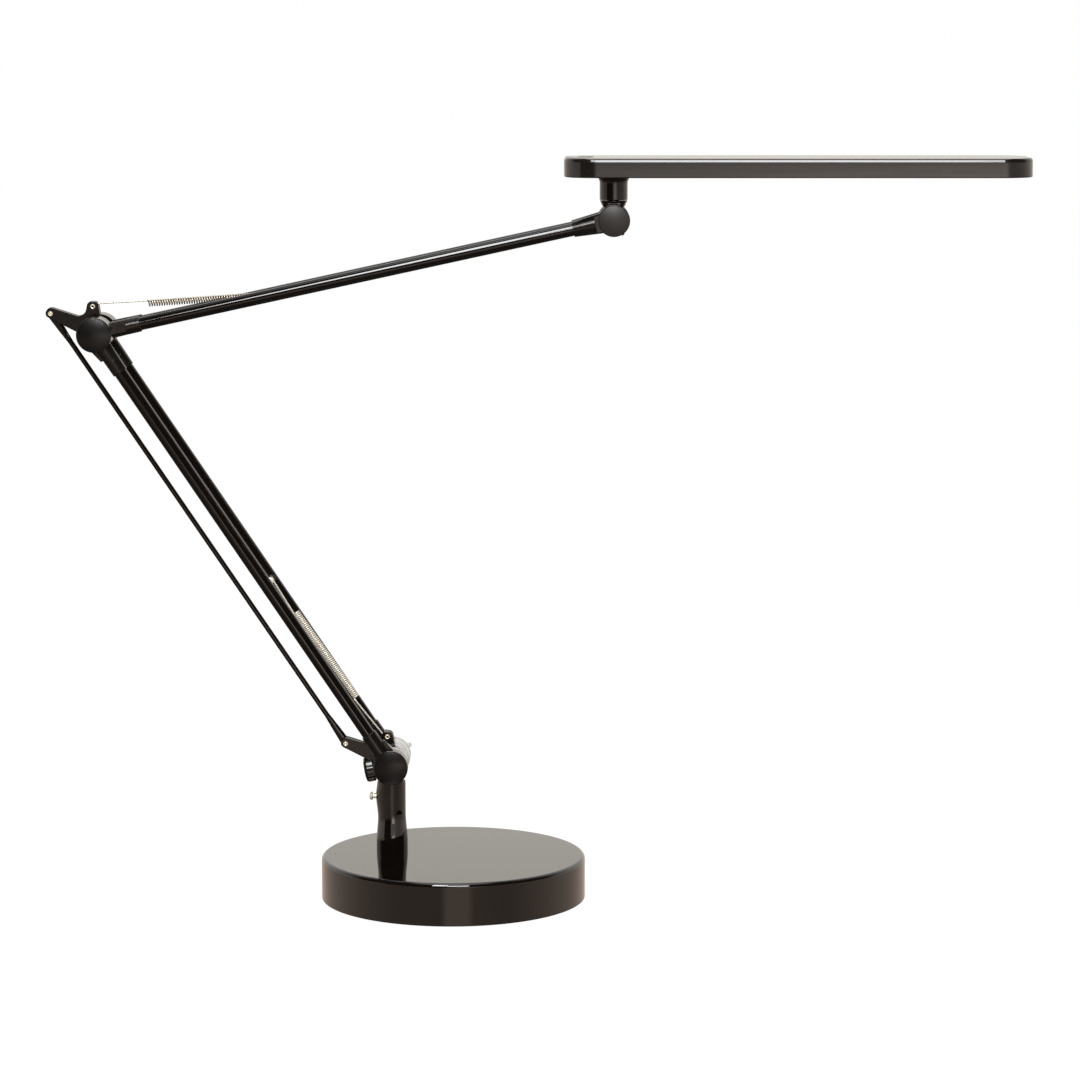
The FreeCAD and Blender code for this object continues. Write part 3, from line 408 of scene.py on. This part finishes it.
def bracket(hubHalf):
    half, slot, edge = bracketSize["earHalf"], bracketSize["slotHalf"], bracketSize["earEdge"]
    webHalf = slot + bracketSize["webLap"]
    hub = drum(bracketSize["hub"], -hubHalf, hubHalf, bracketSize["hubEdges"], toBack)
    return join(hub, plate(bracketSize["ear"], -half, -slot, edge), plate(bracketSize["ear"], slot, half, edge),
                plate(bracketSize["web"], -webHalf, webHalf))


def flutedHeel():
    flutes = heelSize["flutes"]
    heel = turned(heelSize["profile"], steps=flutes * heelSize["stepsPerFlute"])
    for vert in heel.verts:
        if vert.co.to_2d().length > heelSize["core"]:
            wave = 0.5 - 0.5 * math.cos(flutes * math.atan2(vert.co.y, vert.co.x))
            shrink = 1 - heelSize["depth"] / heelSize["radius"] * wave
            vert.co.x *= shrink
            vert.co.y *= shrink
    tilt = Matrix.Rotation(math.radians(-90 - heelSize["fall"]), 4, "Y")
    return move(heel, Matrix.Translation((0, 0, -heelSize["drop"])) @ tilt)


def makeBrackets():
    collar = drum(collarSize["radius"], 0, collarSize["foot"], collarSize["edges"])
    low = move(join(bracket(bracketSize["hubHalf"]), collar, flutedHeel()), Matrix.Translation(pivot))
    finishPiece(low, "lower_bracket_casting", earBlack, "swivel", ["lower_bracket"])
    drums = bmesh.new()
    for sign in (-1, 1):
        join(drums, drum(drumSize["radius"], sign * drumSize["start"], sign * bracketSize["hubHalf"],
                         drumSize["edges"], toBack, drumSize["steps"]))
    move(drums, Matrix.Translation(pivot))
    finishPiece(drums, "lower_hub_drums", hubNickel, "swivel", ["lower_hub_rings"])
    high = move(bracket(bracketSize["elbowHubHalf"]), Matrix.Translation(elbow))
    finishPiece(high, "elbow_bracket_plates", earBlack, "elbow_bracket", ["elbow_bracket"])


def makeRivets():
    for level, joint, body in (("lower", pivot, "swivel"), ("elbow", elbow, "elbow_bracket")):
        for kind, name in (("rod", "_rod_rivet_heads"), ("spring", "_spring_eyelet")):
            x, z = rivetSize[kind]["place"]
            half = rivetSize[kind]["half"]
            whole = half + [(r, -y, soft) for r, y, soft in reversed(half)]
            at = Matrix.Translation(joint + Vector((x, 0, z))) @ toBack
            rivet = turned(whole, at, rivetSize["steps"], closed=kind == "spring")
            finishPiece(rivet, level + name, rivetNickel, body, [level + "_" + kind + "_rivet"])


def makeLinkRod():
    stations = rodSize["stations"]
    stations = stations + [(lowerLength - x, wide, thick) for x, wide, thick in reversed(stations)]
    rod = bmesh.new()
    ring = bmesh.ops.create_circle(rod, cap_ends=True, radius=1, segments=rodSize["sides"])["verts"]
    bmesh.ops.transform(rod, matrix=alongX, verts=ring)
    old = None
    for x, wide, thick in stations:
        if old:
            ring = vertsOf(bmesh.ops.extrude_edge_only(rod, edges=ringEdges(ring))["geom"])
            bmesh.ops.translate(rod, vec=(-old[0], 0, 0), verts=ring)
            bmesh.ops.scale(rod, vec=(1, 1 / old[2], 1 / old[1]), verts=ring)
        bmesh.ops.scale(rod, vec=(1, thick, wide), verts=ring)
        bmesh.ops.translate(rod, vec=(x, 0, 0), verts=ring)
        old = (x, wide, thick)
    bmesh.ops.holes_fill(rod, edges=rod.edges, sides=0)
    x, z = rivetSize["rod"]["place"]
    at = lowerArm.copy()
    at.translation = elbow + Vector((x, 0, z))
    finishPiece(move(rod, at), "link_rod_wire", tubeBlack, "link_rod", ["link_rod"])


makeBrackets()
makeRivets()
makeLinkRod()
print("brackets, rivets and rod made")


# arms: tubes, sockets, caps and wing nuts

tubeSize = {"radius": 4.9, "lowerY": 22.0, "upperY": 11.0, "overlap": 2.9, "edges": (0.3, 0.3), "steps": 64}
# eye of each socket from back to face, and its sleeve from root to tip
socketSize = {"lower": {"eye": 13.2, "back": 16.6, "face": 28.4, "tubeY": tubeSize["lowerY"],
                        "root": 6.3, "tip": 5.8, "lap": 23.2},
              "upper": {"eye": 13.2, "back": 9.1, "face": 16.3, "tubeY": tubeSize["upperY"],
                        "root": 6.3, "tip": 5.8, "lap": 23.2},
              "head": {"eye": 12.1, "back": 7.0, "face": 15.2, "tubeY": tubeSize["upperY"],
                       "root": 8.5, "tip": 5.8, "lap": 14.0}}
reachOf = {"elbow": 34.2, "foot": 30.2, "head": 31.2}
eyeSize = {"edges": (0.3, 0.5), "steps": 96}
sleeveSize = {"play": 0.05, "mouth": 3, "lapEdge": 0.25, "tipEdge": 0.5, "mouthEdge": 0.2, "steps": 64}
gussetSize = {"back": 1.2, "face": 4, "edge": 0.4,
              "outline": [(0, 0, 0), (0, 9.8, 0), (9.4, 9.2, 0), (19.8, 7.4, 0.8), (19.8, 0, 0)]}
mouldingSharp = 28
capSize = {"inset": 0.7, "thickness": 1.4, "crown": 1.6, "rings": 12, "edge": 0.4, "skirt": 0.5, "steps": 96}
wingSize = {"lowerAngle": 24, "headAngle": -58, "half": 1.3, "edge": 0.7, "steps": 48,
            "hub": [(3, 0, 0), (6, 0, 0.4), (4.75, 9, 0.6), (3, 9, 0.3)],
            "wing": [(3.6, 2, 0), (15, 5.5, 2.6), (15, 11.4, 2.6), (8.4, 11.4, 3), (4.6, 9, 1), (3.6, 9, 0)]}
# thin bright cup over the rear eye of the lower joint
cupSize = {"steps": 96, "profile": [(10.4, 16.35, 0), (13.6, 16.35, 0.15), (13.6, 28.9, 0.5), (5.5, 28.9, 0),
                                    (5.5, 28.5, 0), (13.25, 28.5, 0), (13.25, 16.55, 0), (10.4, 16.55, 0)]}


def socket(size, reach, gussetSide):
    # eye about Y, and a sleeve along +X that is cut to the eye's width as far as its lap
    eye = drum(size["eye"], size["back"], size["face"], eyeSize["edges"], toBack, eyeSize["steps"])
    lap = size["lap"]
    atLap = size["root"] + (size["tip"] - size["root"]) * lap / reach
    near = bmesh.new()
    at = Matrix.Translation((lap / 2, size["tubeY"], 0)) @ alongX
    bmesh.ops.create_cone(near, cap_ends=True, segments=sleeveSize["steps"], radius1=size["root"], radius2=atLap,
                          depth=lap, matrix=at)
    for y, way in ((size["back"], -1), (size["face"], 1)):
        cut = bmesh.ops.bisect_plane(near, geom=near.verts[:] + near.edges[:] + near.faces[:], plane_co=(0, y, 0),
                                     plane_no=(0, way, 0), clear_outer=True)["geom_cut"]
        bmesh.ops.holes_fill(near, edges=[g for g in cut if isinstance(g, bmesh.types.BMEdge)])
    at = Matrix.Translation((0, size["tubeY"], 0)) @ alongX
    bore, depth = tubeSize["radius"] + sleeveSize["play"], reach - sleeveSize["mouth"]
    far = turned([(0, lap, 0), (atLap, lap, sleeveSize["lapEdge"]), (size["tip"], reach, sleeveSize["tipEdge"]),
                  (bore, reach, sleeveSize["mouthEdge"]), (bore, depth, 0), (0, depth, 0)], at, sleeveSize["steps"])
    join(eye, near, far)
    if gussetSide:
        outline = [(x, gussetSide * z, soft) for x, z, soft in gussetSize["outline"]]
        join(eye, plate(outline, size["back"] + gussetSize["back"], size["face"] - gussetSize["face"],
                        gussetSize["edge"]))
    return eye


def makeArms():
    turnAbout = Matrix.Rotation(math.pi, 4, "Z")
    footEnd = Matrix.Translation((lowerLength, 0, 0)) @ turnAbout
    headEnd = Matrix.Translation((upperLength, 0, 0)) @ turnAbout
    ends = [("lower_elbow_socket", "lower_arm", lowerArm, "lower", "elbow", -1),
            ("lower_foot_socket", "lower_arm", lowerArm @ footEnd, "lower", "foot", 1),
            ("upper_elbow_socket", "upper_arm", upperArm, "upper", "elbow", 0),
            ("upper_head_socket", "upper_arm", upperArm @ headEnd, "head", "head", 0)]
    for node, body, at, size, end, gussetSide in ends:
        for side in ("rear", "front"):
            piece = socket(socketSize[size], reachOf[end], gussetSide)
            if (side == "front") == (end == "elbow"):  # the other ends are turned about already
                move(piece, frontSide)
            finishPiece(move(piece, at), node + "_moulding_" + side, socketBlack, body, [node + "_" + side],
                        mouldingSharp)
    start = reachOf["elbow"] - tubeSize["overlap"]
    runs = [("lower_tube", "lower_arm", lowerArm, tubeSize["lowerY"], lowerLength - reachOf["foot"]),
            ("upper_tube", "upper_arm", upperArm, tubeSize["upperY"], upperLength - reachOf["head"])]
    for node, body, at, y, end in runs:
        for side, sign in (("rear", 1), ("front", -1)):
            axis = at @ Matrix.Translation((0, sign * y, 0)) @ alongX
            piece = drum(tubeSize["radius"], start, end + tubeSize["overlap"], tubeSize["edges"], axis,
                         tubeSize["steps"])
            finishPiece(piece, node + "_pipe_" + side, tubeBlack, body, [node + "_" + side])


def makeCaps():
    places = [("lower_cap_front", "lower_arm", pivot, "lower", -1),
              ("elbow_cap_front", "lower_arm", elbow, "lower", -1),
              ("elbow_cap_rear", "lower_arm", elbow, "lower", 1),
              ("head_cap_front", "upper_arm", headJoint, "head", -1)]
    thick, crown, skirt = capSize["thickness"], capSize["crown"], -capSize["skirt"]
    for node, body, joint, size, sign in places:
        radius = socketSize[size]["eye"] - capSize["inset"]
        face = Vector((0, sign * socketSize[size]["face"], 0))
        at = Matrix.Translation(joint + face) @ (toBack if sign > 0 else toFront)
        ball = (radius ** 2 + crown ** 2) / (2 * crown)
        swing = math.asin(radius / ball) / capSize["rings"]
        dome = [(ball * math.sin(i * swing), thick + crown - ball * (1 - math.cos(i * swing)), 0)
                for i in range(capSize["rings"])]
        side = [(radius, thick, capSize["edge"]), (radius, skirt, 0), (0, skirt, 0)]
        cap = turned(dome + side, at, capSize["steps"])
        # the head cap takes the copy painted greyer, as painted light
        finish = litHeadCapBlack if size == "head" else capBlack
        finishPiece(cap, node + "_cover", finish, body, [node])


def wingNut(face, angle, joint):
    nut = turned(wingSize["hub"], closed=True, steps=wingSize["steps"])
    for sign in (1, -1):
        outline = [(sign * x, z, soft) for x, z, soft in wingSize["wing"]]
        join(nut, plate(outline, -wingSize["half"], wingSize["half"], wingSize["edge"]))
    swing = Matrix.Rotation(math.radians(-angle), 4, "Y")
    return move(nut, Matrix.Translation(joint) @ swing @ Matrix.Translation((0, face, 0)) @ toBack)


def makeWingNuts():
    cup = turned(cupSize["profile"], Matrix.Translation(pivot) @ toBack, cupSize["steps"], closed=True)
    nut = join(wingNut(socketSize["lower"]["face"], wingSize["lowerAngle"], pivot), cup)
    finishPiece(nut, "lower_wing_nut_bright", hubNickel, "lower_arm", ["lower_wing_nut"])
    nut = wingNut(socketSize["head"]["face"], wingSize["headAngle"], headJoint)
    finishPiece(nut, "head_wing_nut_black", capBlack, "upper_arm", ["head_wing_nut"])


makeArms()
makeCaps()
makeWingNuts()
print("arms made")


# balance springs with their cross pins

springSize = {"wire": 0.58, "coil": 2.1, "bend": 1.3, "rivet": 1.3, "clear": 0.12, "slack": 0.25, "overlap": 1.4,
              "hookTurn": 220, "eyeTurn": 250, "loopSteps": 40, "bendSteps": 8, "stepsPerTurn": 20, "sides": 10,
              "sharp": 60}
springs = {"lower": {"pinX": lowerLength - 165.7, "coilX": lowerLength - 56, "coilZ": 5.5, "length": 80, "turns": 53},
           "upper": {"pinX": 155, "coilX": 42, "coilZ": 13.2, "length": 92, "turns": 49}}
pinSize = {"radius": 2.4, "edges": (0.3, 0.3), "insertion": 1.6, "collar": 3.7, "collarLength": 1.4,
           "collarEdge": 0.4, "boreEdge": 0.2, "steps": 48}


def tangentFrom(point, centre, radius):
    # direction and far end of the line that passes the circle on its own right, in the XZ plane
    run = centre - point
    way = Matrix.Rotation(math.asin(radius / run.length), 3, "Y") @ run.normalized()
    return way, point + way * math.sqrt(run.length ** 2 - radius ** 2)


def middleOf(ring):
    return sum((v.co for v in ring), Vector()) / len(ring)


def sectionAt(bm, centre, normal):
    ring = bmesh.ops.create_circle(bm, cap_ends=False, radius=springSize["wire"],
                                   segments=springSize["sides"])["verts"]
    facing = upAxis.rotation_difference(normal).to_matrix().to_4x4()
    bmesh.ops.transform(bm, matrix=Matrix.Translation(centre) @ facing, verts=ring)
    return ring


def spinRing(bm, ring, centre, axis, angle, steps, climb=Vector()):
    last = bmesh.ops.spin(bm, geom=list(ring) + ringEdges(ring), cent=centre, axis=axis, dvec=climb, angle=angle,
                          steps=steps, use_merge=False)["geom_last"]
    return vertsOf(last)


def bendRing(bm, ring, centre, axis):
    return spinRing(bm, ring, centre, axis, -math.pi / 2, springSize["bendSteps"])


def loopRing(bm, ring, centre, start, way, degrees):
    axis = (start - centre).cross(way).normalized()
    return spinRing(bm, ring, centre, axis, math.radians(degrees), springSize["loopSteps"])


def drawRing(bm, ring, end, turn=Matrix.Identity(3)):
    step = end - middleOf(ring)
    ring = vertsOf(bmesh.ops.extrude_edge_only(bm, edges=ringEdges(ring))["geom"])
    bmesh.ops.rotate(bm, cent=middleOf(ring), matrix=turn, verts=ring)
    bmesh.ops.translate(bm, vec=step, verts=ring)
    return ring


def closeWire(bm, at):
    bmesh.ops.holes_fill(bm, edges=bm.edges, sides=0)
    return move(bm, at)


def makeSpring(level, at, joint, wire):
    size, bend, sharp = springs[level], springSize["bend"], springSize["sharp"]
    earX, earZ = rivetSize["spring"]["place"]
    pin = Vector((size["pinX"], 0, 0))
    start = Vector((size["coilX"], 0, size["coilZ"]))
    ear = at.inverted() @ (joint + Vector((earX, 0, earZ)))
    loop = springSize["wire"] + springSize["clear"]
    axis, hookStart = tangentFrom(start, pin, pinSize["radius"] + loop + springSize["slack"])
    off = axis.cross(acrossAxis)
    brow = start + off * springSize["coil"]
    way, eyeStart = tangentFrom(brow - axis * bend, ear, springSize["rivet"] + loop)

    lead = bmesh.new()
    ring = bendRing(lead, sectionAt(lead, brow, acrossAxis), brow - axis * bend, off)
    ring = drawRing(lead, ring, eyeStart, (-axis).rotation_difference(way).to_matrix())
    loopRing(lead, ring, ear, eyeStart, way, springSize["eyeTurn"])
    finishPiece(closeWire(lead, at), level + "_spring_wire_lead", wire, level + "_spring_lead",
                [level + "_spring_lead"], sharp, False)

    coil = bmesh.new()
    steps = size["turns"] * springSize["stepsPerTurn"]
    ring = spinRing(coil, sectionAt(coil, brow, acrossAxis), start, axis, -2 * math.pi * size["turns"], steps,
                    axis * (size["length"] / steps))
    ring = bendRing(coil, ring, middleOf(ring) + axis * bend, off)
    drawRing(coil, ring, hookStart + axis * springSize["overlap"])
    piece = finishPiece(closeWire(coil, at), level + "_spring_wire_coil", wire, None, [level + "_spring_coil"],
                        sharp, False)
    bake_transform(piece)

    # the hook stays on its pin, and the coil's tail runs a little past the start of the hook
    hook = bmesh.new()
    loopRing(hook, sectionAt(hook, hookStart, axis), pin, hookStart, axis, springSize["hookTurn"])
    return closeWire(hook, at)


def makePin(level, at, y, body, hook):
    face = y - tubeSize["radius"]
    place = at @ Matrix.Translation((springs[level]["pinX"], 0, 0)) @ toBack
    reach, r, steps = face + pinSize["insertion"], pinSize["radius"], pinSize["steps"]
    pin = join(drum(r, -reach, reach, pinSize["edges"], place, steps), hook)
    finishPiece(pin, level + "_spring_cross_pin", springNickel, body, [level + "_spring_pin"])
    collars = bmesh.new()
    for sign in (-1, 1):
        inner, outer = sign * (face - pinSize["collarLength"]), sign * reach
        join(collars, turned([(r, inner, pinSize["boreEdge"]), (pinSize["collar"], inner, pinSize["collarEdge"]),
                              (pinSize["collar"], outer, 0), (r, outer, 0)], place, steps, closed=True))
    finishPiece(collars, level + "_pin_collar_rings", socketBlack, body, [level + "_pin_collars"])


lowerHook = makeSpring("lower", lowerArm, pivot, springNickel)
# the upper spring takes the copy of the wire painted darker, as painted shade
upperHook = makeSpring("upper", upperArm, elbow, shadePaintedWire)
makePin("lower", lowerArm, tubeSize["lowerY"], "lower_arm", lowerHook)
makePin("upper", upperArm, tubeSize["upperY"], "upper_arm", upperHook)
print("springs made")


# head joint and head

knuckleSize = {"barrel": 10.2, "half": 6.7, "edges": (0.5, 0.5), "flatTop": 12.81, "steps": 96,
               "shoulder": [(0, 0, 0), (7.3, 0, 0), (7.3, 8, 4), (9.59254, 12.8, 0), (9.59254, 12.82, 0),
                            (10.5, 14.7, 0.3), (0, 14.7, 0)]}
neckSize = {"steps": 96, "profile": [(4.6, 15, 0), (10.5, 15, 0.4), (10.5, 31.62, 5.1), (14, 32.6, 0), (7, 32.6, 0),
                                     (7, 25.6, 0), (4.6, 25.6, 0)]}
headSize = {"length": 349, "half": 38, "thickness": 14.3, "corner": 24, "chamfer": 0.9, "facet": 1.7,
            "facetIn": 0.45, "soft": 0.16, "bottom": 1.0, "wall": 1.8, "sharp": 20}
panelSize = {"thickness": 2.0, "gap": 0.2, "edge": 0.35, "coverLength": 80}
buttonSize = {"offset": 16, "radius": 6, "gap": 0.15, "holeHalf": 2, "steps": 64,
              "profile": [(0, 0.3, 0), (3, 0.3, 0), (6, 0.3, 0.4), (6, -3, 0), (0, -3, 0)]}
swapYZ = Matrix(((1, 0, 0, 0), (0, 0, 1, 0), (0, 1, 0, 0), (0, 0, 0, 1)))


def makeKnuckle():
    half = knuckleSize["half"]
    barrel = drum(knuckleSize["barrel"], -half, half, knuckleSize["edges"], toBack, knuckleSize["steps"])
    shoulder = turned(knuckleSize["shoulder"], steps=knuckleSize["steps"])
    for vert in shoulder.verts:  # flats between the two sockets
        if vert.co.z < knuckleSize["flatTop"]:
            vert.co.y = max(-half, min(half, vert.co.y))
    knuckle = move(join(barrel, shoulder), Matrix.Translation(headJoint))
    finishPiece(knuckle, "head_knuckle_casting", glossBlack, "head_tilt", ["head_knuckle"])
    neck = turned(neckSize["profile"], Matrix.Translation(headJoint), neckSize["steps"], closed=True)
    finishPiece(neck, "neck_flared_stub", neckBlack, "head", ["neck"])


def planPlate(x0, x1, half, corners, thickness):
    # corners are the roundings at the left and right ends
    left, right = corners
    flat = plate([(x0, -half, left), (x1, -half, right), (x1, half, right), (x0, half, left)], 0, thickness)
    move(flat, swapYZ)
    bmesh.ops.recalc_face_normals(flat, faces=flat.faces)
    return flat


def levelRim(bm, z):
    return [e for e in bm.edges if all(abs(v.co.z - z) < sameLevel for v in e.verts)]


def cutHole(piece, hole):
    bmesh.ops.recalc_face_normals(hole, faces=hole.faces)
    bmesh.ops.scale(hole, vec=(1 / metre,) * 3, verts=hole.verts)
    mesh = bpy.data.meshes.new("hole")
    hole.to_mesh(mesh)
    hole.free()
    cutter = bpy.data.objects.new("hole", mesh)
    bpy.context.collection.objects.link(cutter)
    cut = piece.modifiers.new("hole", "BOOLEAN")
    cut.operation = "DIFFERENCE"
    cut.object = cutter
    shown = piece.evaluated_get(bpy.context.evaluated_depsgraph_get())
    cutMesh = bpy.data.meshes.new_from_object(shown)
    piece.modifiers.clear()
    piece.data = cutMesh
    bpy.data.objects.remove(cutter)


def makeHousing():
    corner, thick, facet, chamfer = (headSize[key] for key in ("corner", "thickness", "facet", "chamfer"))
    low = thick - chamfer - facet
    bar = planPlate(0, headSize["length"], headSize["half"], (corner, corner), low)
    roof = [f for f in bar.faces if f.normal.z > 0.99]
    bmesh.ops.inset_region(bar, faces=roof, thickness=headSize["facetIn"], depth=facet)
    bmesh.ops.inset_region(bar, faces=roof, thickness=chamfer, depth=chamfer)
    for z in (low, low + facet, thick):
        bevelEdges(bar, levelRim(bar, z), headSize["soft"], 2)
    bevelEdges(bar, levelRim(bar, 0), headSize["bottom"], 4)
    bmesh.ops.recalc_face_normals(bar, faces=bar.faces)
    floor = max((f for f in bar.faces if f.normal.z < -0.99), key=lambda f: f.calc_area())
    bmesh.ops.inset_region(bar, faces=[floor], thickness=headSize["wall"] - headSize["bottom"])
    grown = bmesh.ops.extrude_face_region(bar, geom=[floor])["geom"]
    bmesh.ops.translate(bar, vec=(0, 0, panelSize["thickness"]), verts=vertsOf(grown))
    bmesh.ops.delete(bar, geom=[floor], context="FACES")
    move(bar, Matrix.Translation(headCorner))
    return finishPiece(bar, "head_housing_shell", headBlack, "head", ["head_housing"],
                       headSize["sharp"])


def makeButton(housing):
    at = Matrix.Translation(headCorner + Vector((buttonSize["offset"], 0, headSize["thickness"])))
    half, steps = buttonSize["holeHalf"], buttonSize["steps"]
    cutHole(housing, drum(buttonSize["radius"] + buttonSize["gap"], -half, half, place=at, steps=steps))
    button = turned(buttonSize["profile"], at, steps)
    finishPiece(button, "push_button_disc", capBlack, "button", ["push_button"])


def makePanels():
    gap, split = panelSize["gap"], panelSize["coverLength"]
    inset = headSize["wall"] + gap
    corner = headSize["corner"] - inset
    panels = [("end_cover", inset, split, (corner, 0), "black_cap_plastic", socketBlack),
              ("diffuser", split + gap, headSize["length"] - inset, (0, corner), "diffuser_plastic", opal)]
    for node, x0, x1, corners, slot, material in panels:
        panel = planPlate(x0, x1, headSize["half"] - inset, corners, panelSize["thickness"])
        bevelEdges(panel, levelRim(panel, 0), panelSize["edge"], 2)
        move(panel, Matrix.Translation(headCorner))
        finishPiece(panel, node + "_panel", material, "head", [node])


makeKnuckle()
makeButton(makeHousing())
makePanels()
print("head made")


# inner parts keep their solids and get a finish

innerFinishes = {"base_plate": zincSteel, "base_weight": castIron, "base_pad": rubberBlack, "base_screws": zincSteel,
                 "foot_bolt": zincSteel, "spindle": zincSteel, "lower_bolt": zincSteel, "elbow_bolt": zincSteel,
                 "elbow_nut": zincSteel, "head_bolt": zincSteel, "swivel_screw": zincSteel, "led_board": boardWhite,
                 "leds": phosphor, "driver_board": boardWhite, "cover_screws": zincSteel}
for node, material in innerFinishes.items():
    for place in frame["nodes"][node].material_slots:
        place.material = material
print("inner parts finished")


# floor, world and lights

floorLook = {"half": 12, "drop": 0.0003, "colour": "#f4f3f1", "whiteShare": 0.9, "glow": 1.08}
# what gloss sees of the studio: degrees round from the front, positive to the right, and share of white
wallRound = ((-180, 1.05), (-61, 0.85), (-59, 0.02), (-11, 0.02), (-5, 1.0), (8, 0.9), (30, 0.9), (60, 1.0),
             (100, 1.3), (180, 1.3))
cardRound = ((-180, 1.05), (-61, 0.85), (-59, 0.02), (-11, 0.02), (-3, 0.6), (5, 3.6), (15, 3.6), (28, 0.6),
             (60, 0.55), (100, 0.9), (180, 1.05))
floorRound = ((-180, 0.8), (-106, 0.66), (-80, 0.5), (-50, 0.36), (-10, 0.34), (-4, 0.78), (13, 0.78), (19, 0.4),
              (50, 0.36), (80, 0.55), (106, 0.68), (180, 0.8))
skyRound = ((-180, 1.05), (-100, 0.9), (-85, 0.02), (90, 0.02), (105, 0.9), (180, 1.05))
wallTint = (1.0, 0.9, 0.83)
floorTint = (1.0, 0.8, 0.68)
skyTint = (1.0, 0.95, 0.87)
# heights are sines of the elevation, and each band takes over between its two
deepFloor = {"level": 0.08, "heights": (-0.5, -0.35)}  # close under the lamp, in its own shade
bands = ((cardRound, wallTint, (-0.16, -0.11)), (wallRound, wallTint, (-0.0435, -0.041)),
         (skyRound, skyTint, (-0.025, 0)))
roof = {"heights": (0.28, 0.34), "back": (0.1, 0.6), "gain": 0.27, "least": 0.007}
overhead = {"level": 2.5, "heights": (0.94, 0.97)}
brightest = 3.6
fillStrength = 0.3
softBoxes = {"front_top_box": {"place": (0.335, -3.6, 2.55), "target": (0.2, 0.0, 0.45), "size": (1.33, 1.3),
                               "power": 105},
             "left_top_box": {"place": (-0.69, -2.93, 3.27), "target": (-0.07, 0.0, 0.47), "size": (0.75, 2.2),
                              "power": 100}}


def seenDirectly(tree, ray):
    # 1 for what the camera sees, through clear pieces too
    return maths(tree, "MAXIMUM", ray.outputs["Is Camera Ray"], ray.outputs["Is Transmission Ray"])


def makeFloor():
    mesh = bpy.data.meshes.new("studio_floor")
    bm = bmesh.new()
    bmesh.ops.create_grid(bm, x_segments=1, y_segments=1, size=floorLook["half"])
    move(bm, Matrix.Translation((0, 0, -floorLook["drop"])))  # just clear of the pad
    bm.to_mesh(mesh)
    bm.free()
    floor = bpy.data.objects.new("studio_floor", mesh)
    floor.visible_glossy = False  # gloss shows the studio's own light there
    bpy.context.collection.objects.link(floor)
    material = bpy.data.materials.new("pale_floor")
    material.use_nodes = True
    tree = material.node_tree
    tree.nodes.clear()
    ray = addNode(tree, "ShaderNodeLightPath")
    share = maths(tree, "MULTIPLY", seenDirectly(tree, ray), floorLook["whiteShare"])
    matt = addNode(tree, "ShaderNodeBsdfDiffuse", {"Color": linear(floorLook["colour"])})
    white = addNode(tree, "ShaderNodeEmission", {"Color": (1, 1, 1, 1), "Strength": floorLook["glow"]})
    mix = addNode(tree, "ShaderNodeMixShader", {0: share, 1: matt.outputs[0], 2: white.outputs[0]})
    addNode(tree, "ShaderNodeOutputMaterial", {"Surface": mix.outputs[0]})
    mesh.materials.append(material)


def levelRamp(tree, share, levels, tint):
    ramp = addNode(tree, "ShaderNodeValToRGB", {0: share})
    stops = ramp.color_ramp.elements
    while len(stops) < len(levels):
        stops.new(0.5)
    for stop, (degrees, level) in zip(stops, levels):
        stop.position = degrees / 360 + 0.5
        stop.color = tuple(level / brightest * part for part in tint) + (1,)
    return ramp.outputs[0]


def grey(level):
    return (level / brightest,) * 3 + (1,)


def makeWorld():
    world = bpy.data.worlds.new("white_studio")
    bpy.context.scene.world = world
    world.use_nodes = True
    tree = world.node_tree
    tree.nodes.clear()
    way = addNode(tree, "ShaderNodeSeparateXYZ", {0: addNode(tree, "ShaderNodeTexCoord").outputs["Generated"]})
    side, behind, height = way.outputs
    turn = maths(tree, "ARCTAN2", side, maths(tree, "MULTIPLY", behind, -1))
    share = maths(tree, "MULTIPLY_ADD", turn, 0.5 / math.pi, 0.5)

    def above(heights):
        return mapRange(tree, height, heights, (0, 1))

    level = mixColour(tree, above(deepFloor["heights"]), grey(deepFloor["level"]),
                      levelRamp(tree, share, floorRound, floorTint))
    for levels, tint, heights in bands:
        level = mixColour(tree, above(heights), level, levelRamp(tree, share, levels, tint))
    back = mapRange(tree, behind, roof["back"], (0, 1))
    dim = maths(tree, "MULTIPLY_ADD", back, roof["gain"], roof["least"])
    level = mixColour(tree, above(roof["heights"]), level, dim)
    level = mixColour(tree, above(overhead["heights"]), level, grey(overhead["level"]))
    ray = addNode(tree, "ShaderNodeLightPath")
    fill = addNode(tree, "ShaderNodeBackground", {"Color": (1, 1, 1, 1), "Strength": fillStrength})
    studio = addNode(tree, "ShaderNodeBackground", {"Color": level, "Strength": brightest})
    white = addNode(tree, "ShaderNodeBackground", {"Color": (1, 1, 1, 1), "Strength": 1})
    lit = addNode(tree, "ShaderNodeMixShader", {0: ray.outputs["Is Glossy Ray"], 1: fill.outputs[0],
                                                2: studio.outputs[0]})
    mix = addNode(tree, "ShaderNodeMixShader", {0: seenDirectly(tree, ray), 1: lit.outputs[0], 2: white.outputs[0]})
    addNode(tree, "ShaderNodeOutputWorld", {"Surface": mix.outputs[0]})


def makeLights():
    for name, box in softBoxes.items():
        light = bpy.data.lights.new(name, "AREA")
        light.shape = "RECTANGLE"
        light.size, light.size_y = box["size"]
        light.energy = box["power"]
        lamp = bpy.data.objects.new(name, light)
        lamp.location = box["place"]
        aim = Vector(box["target"]) - Vector(box["place"])
        lamp.rotation_euler = aim.to_track_quat("-Z", "Y").to_euler()
        lamp.visible_camera = False
        bpy.context.collection.objects.link(lamp)


makeFloor()
makeWorld()
makeLights()
bpy.context.scene.view_settings.view_transform = "Standard"
print("stage made")
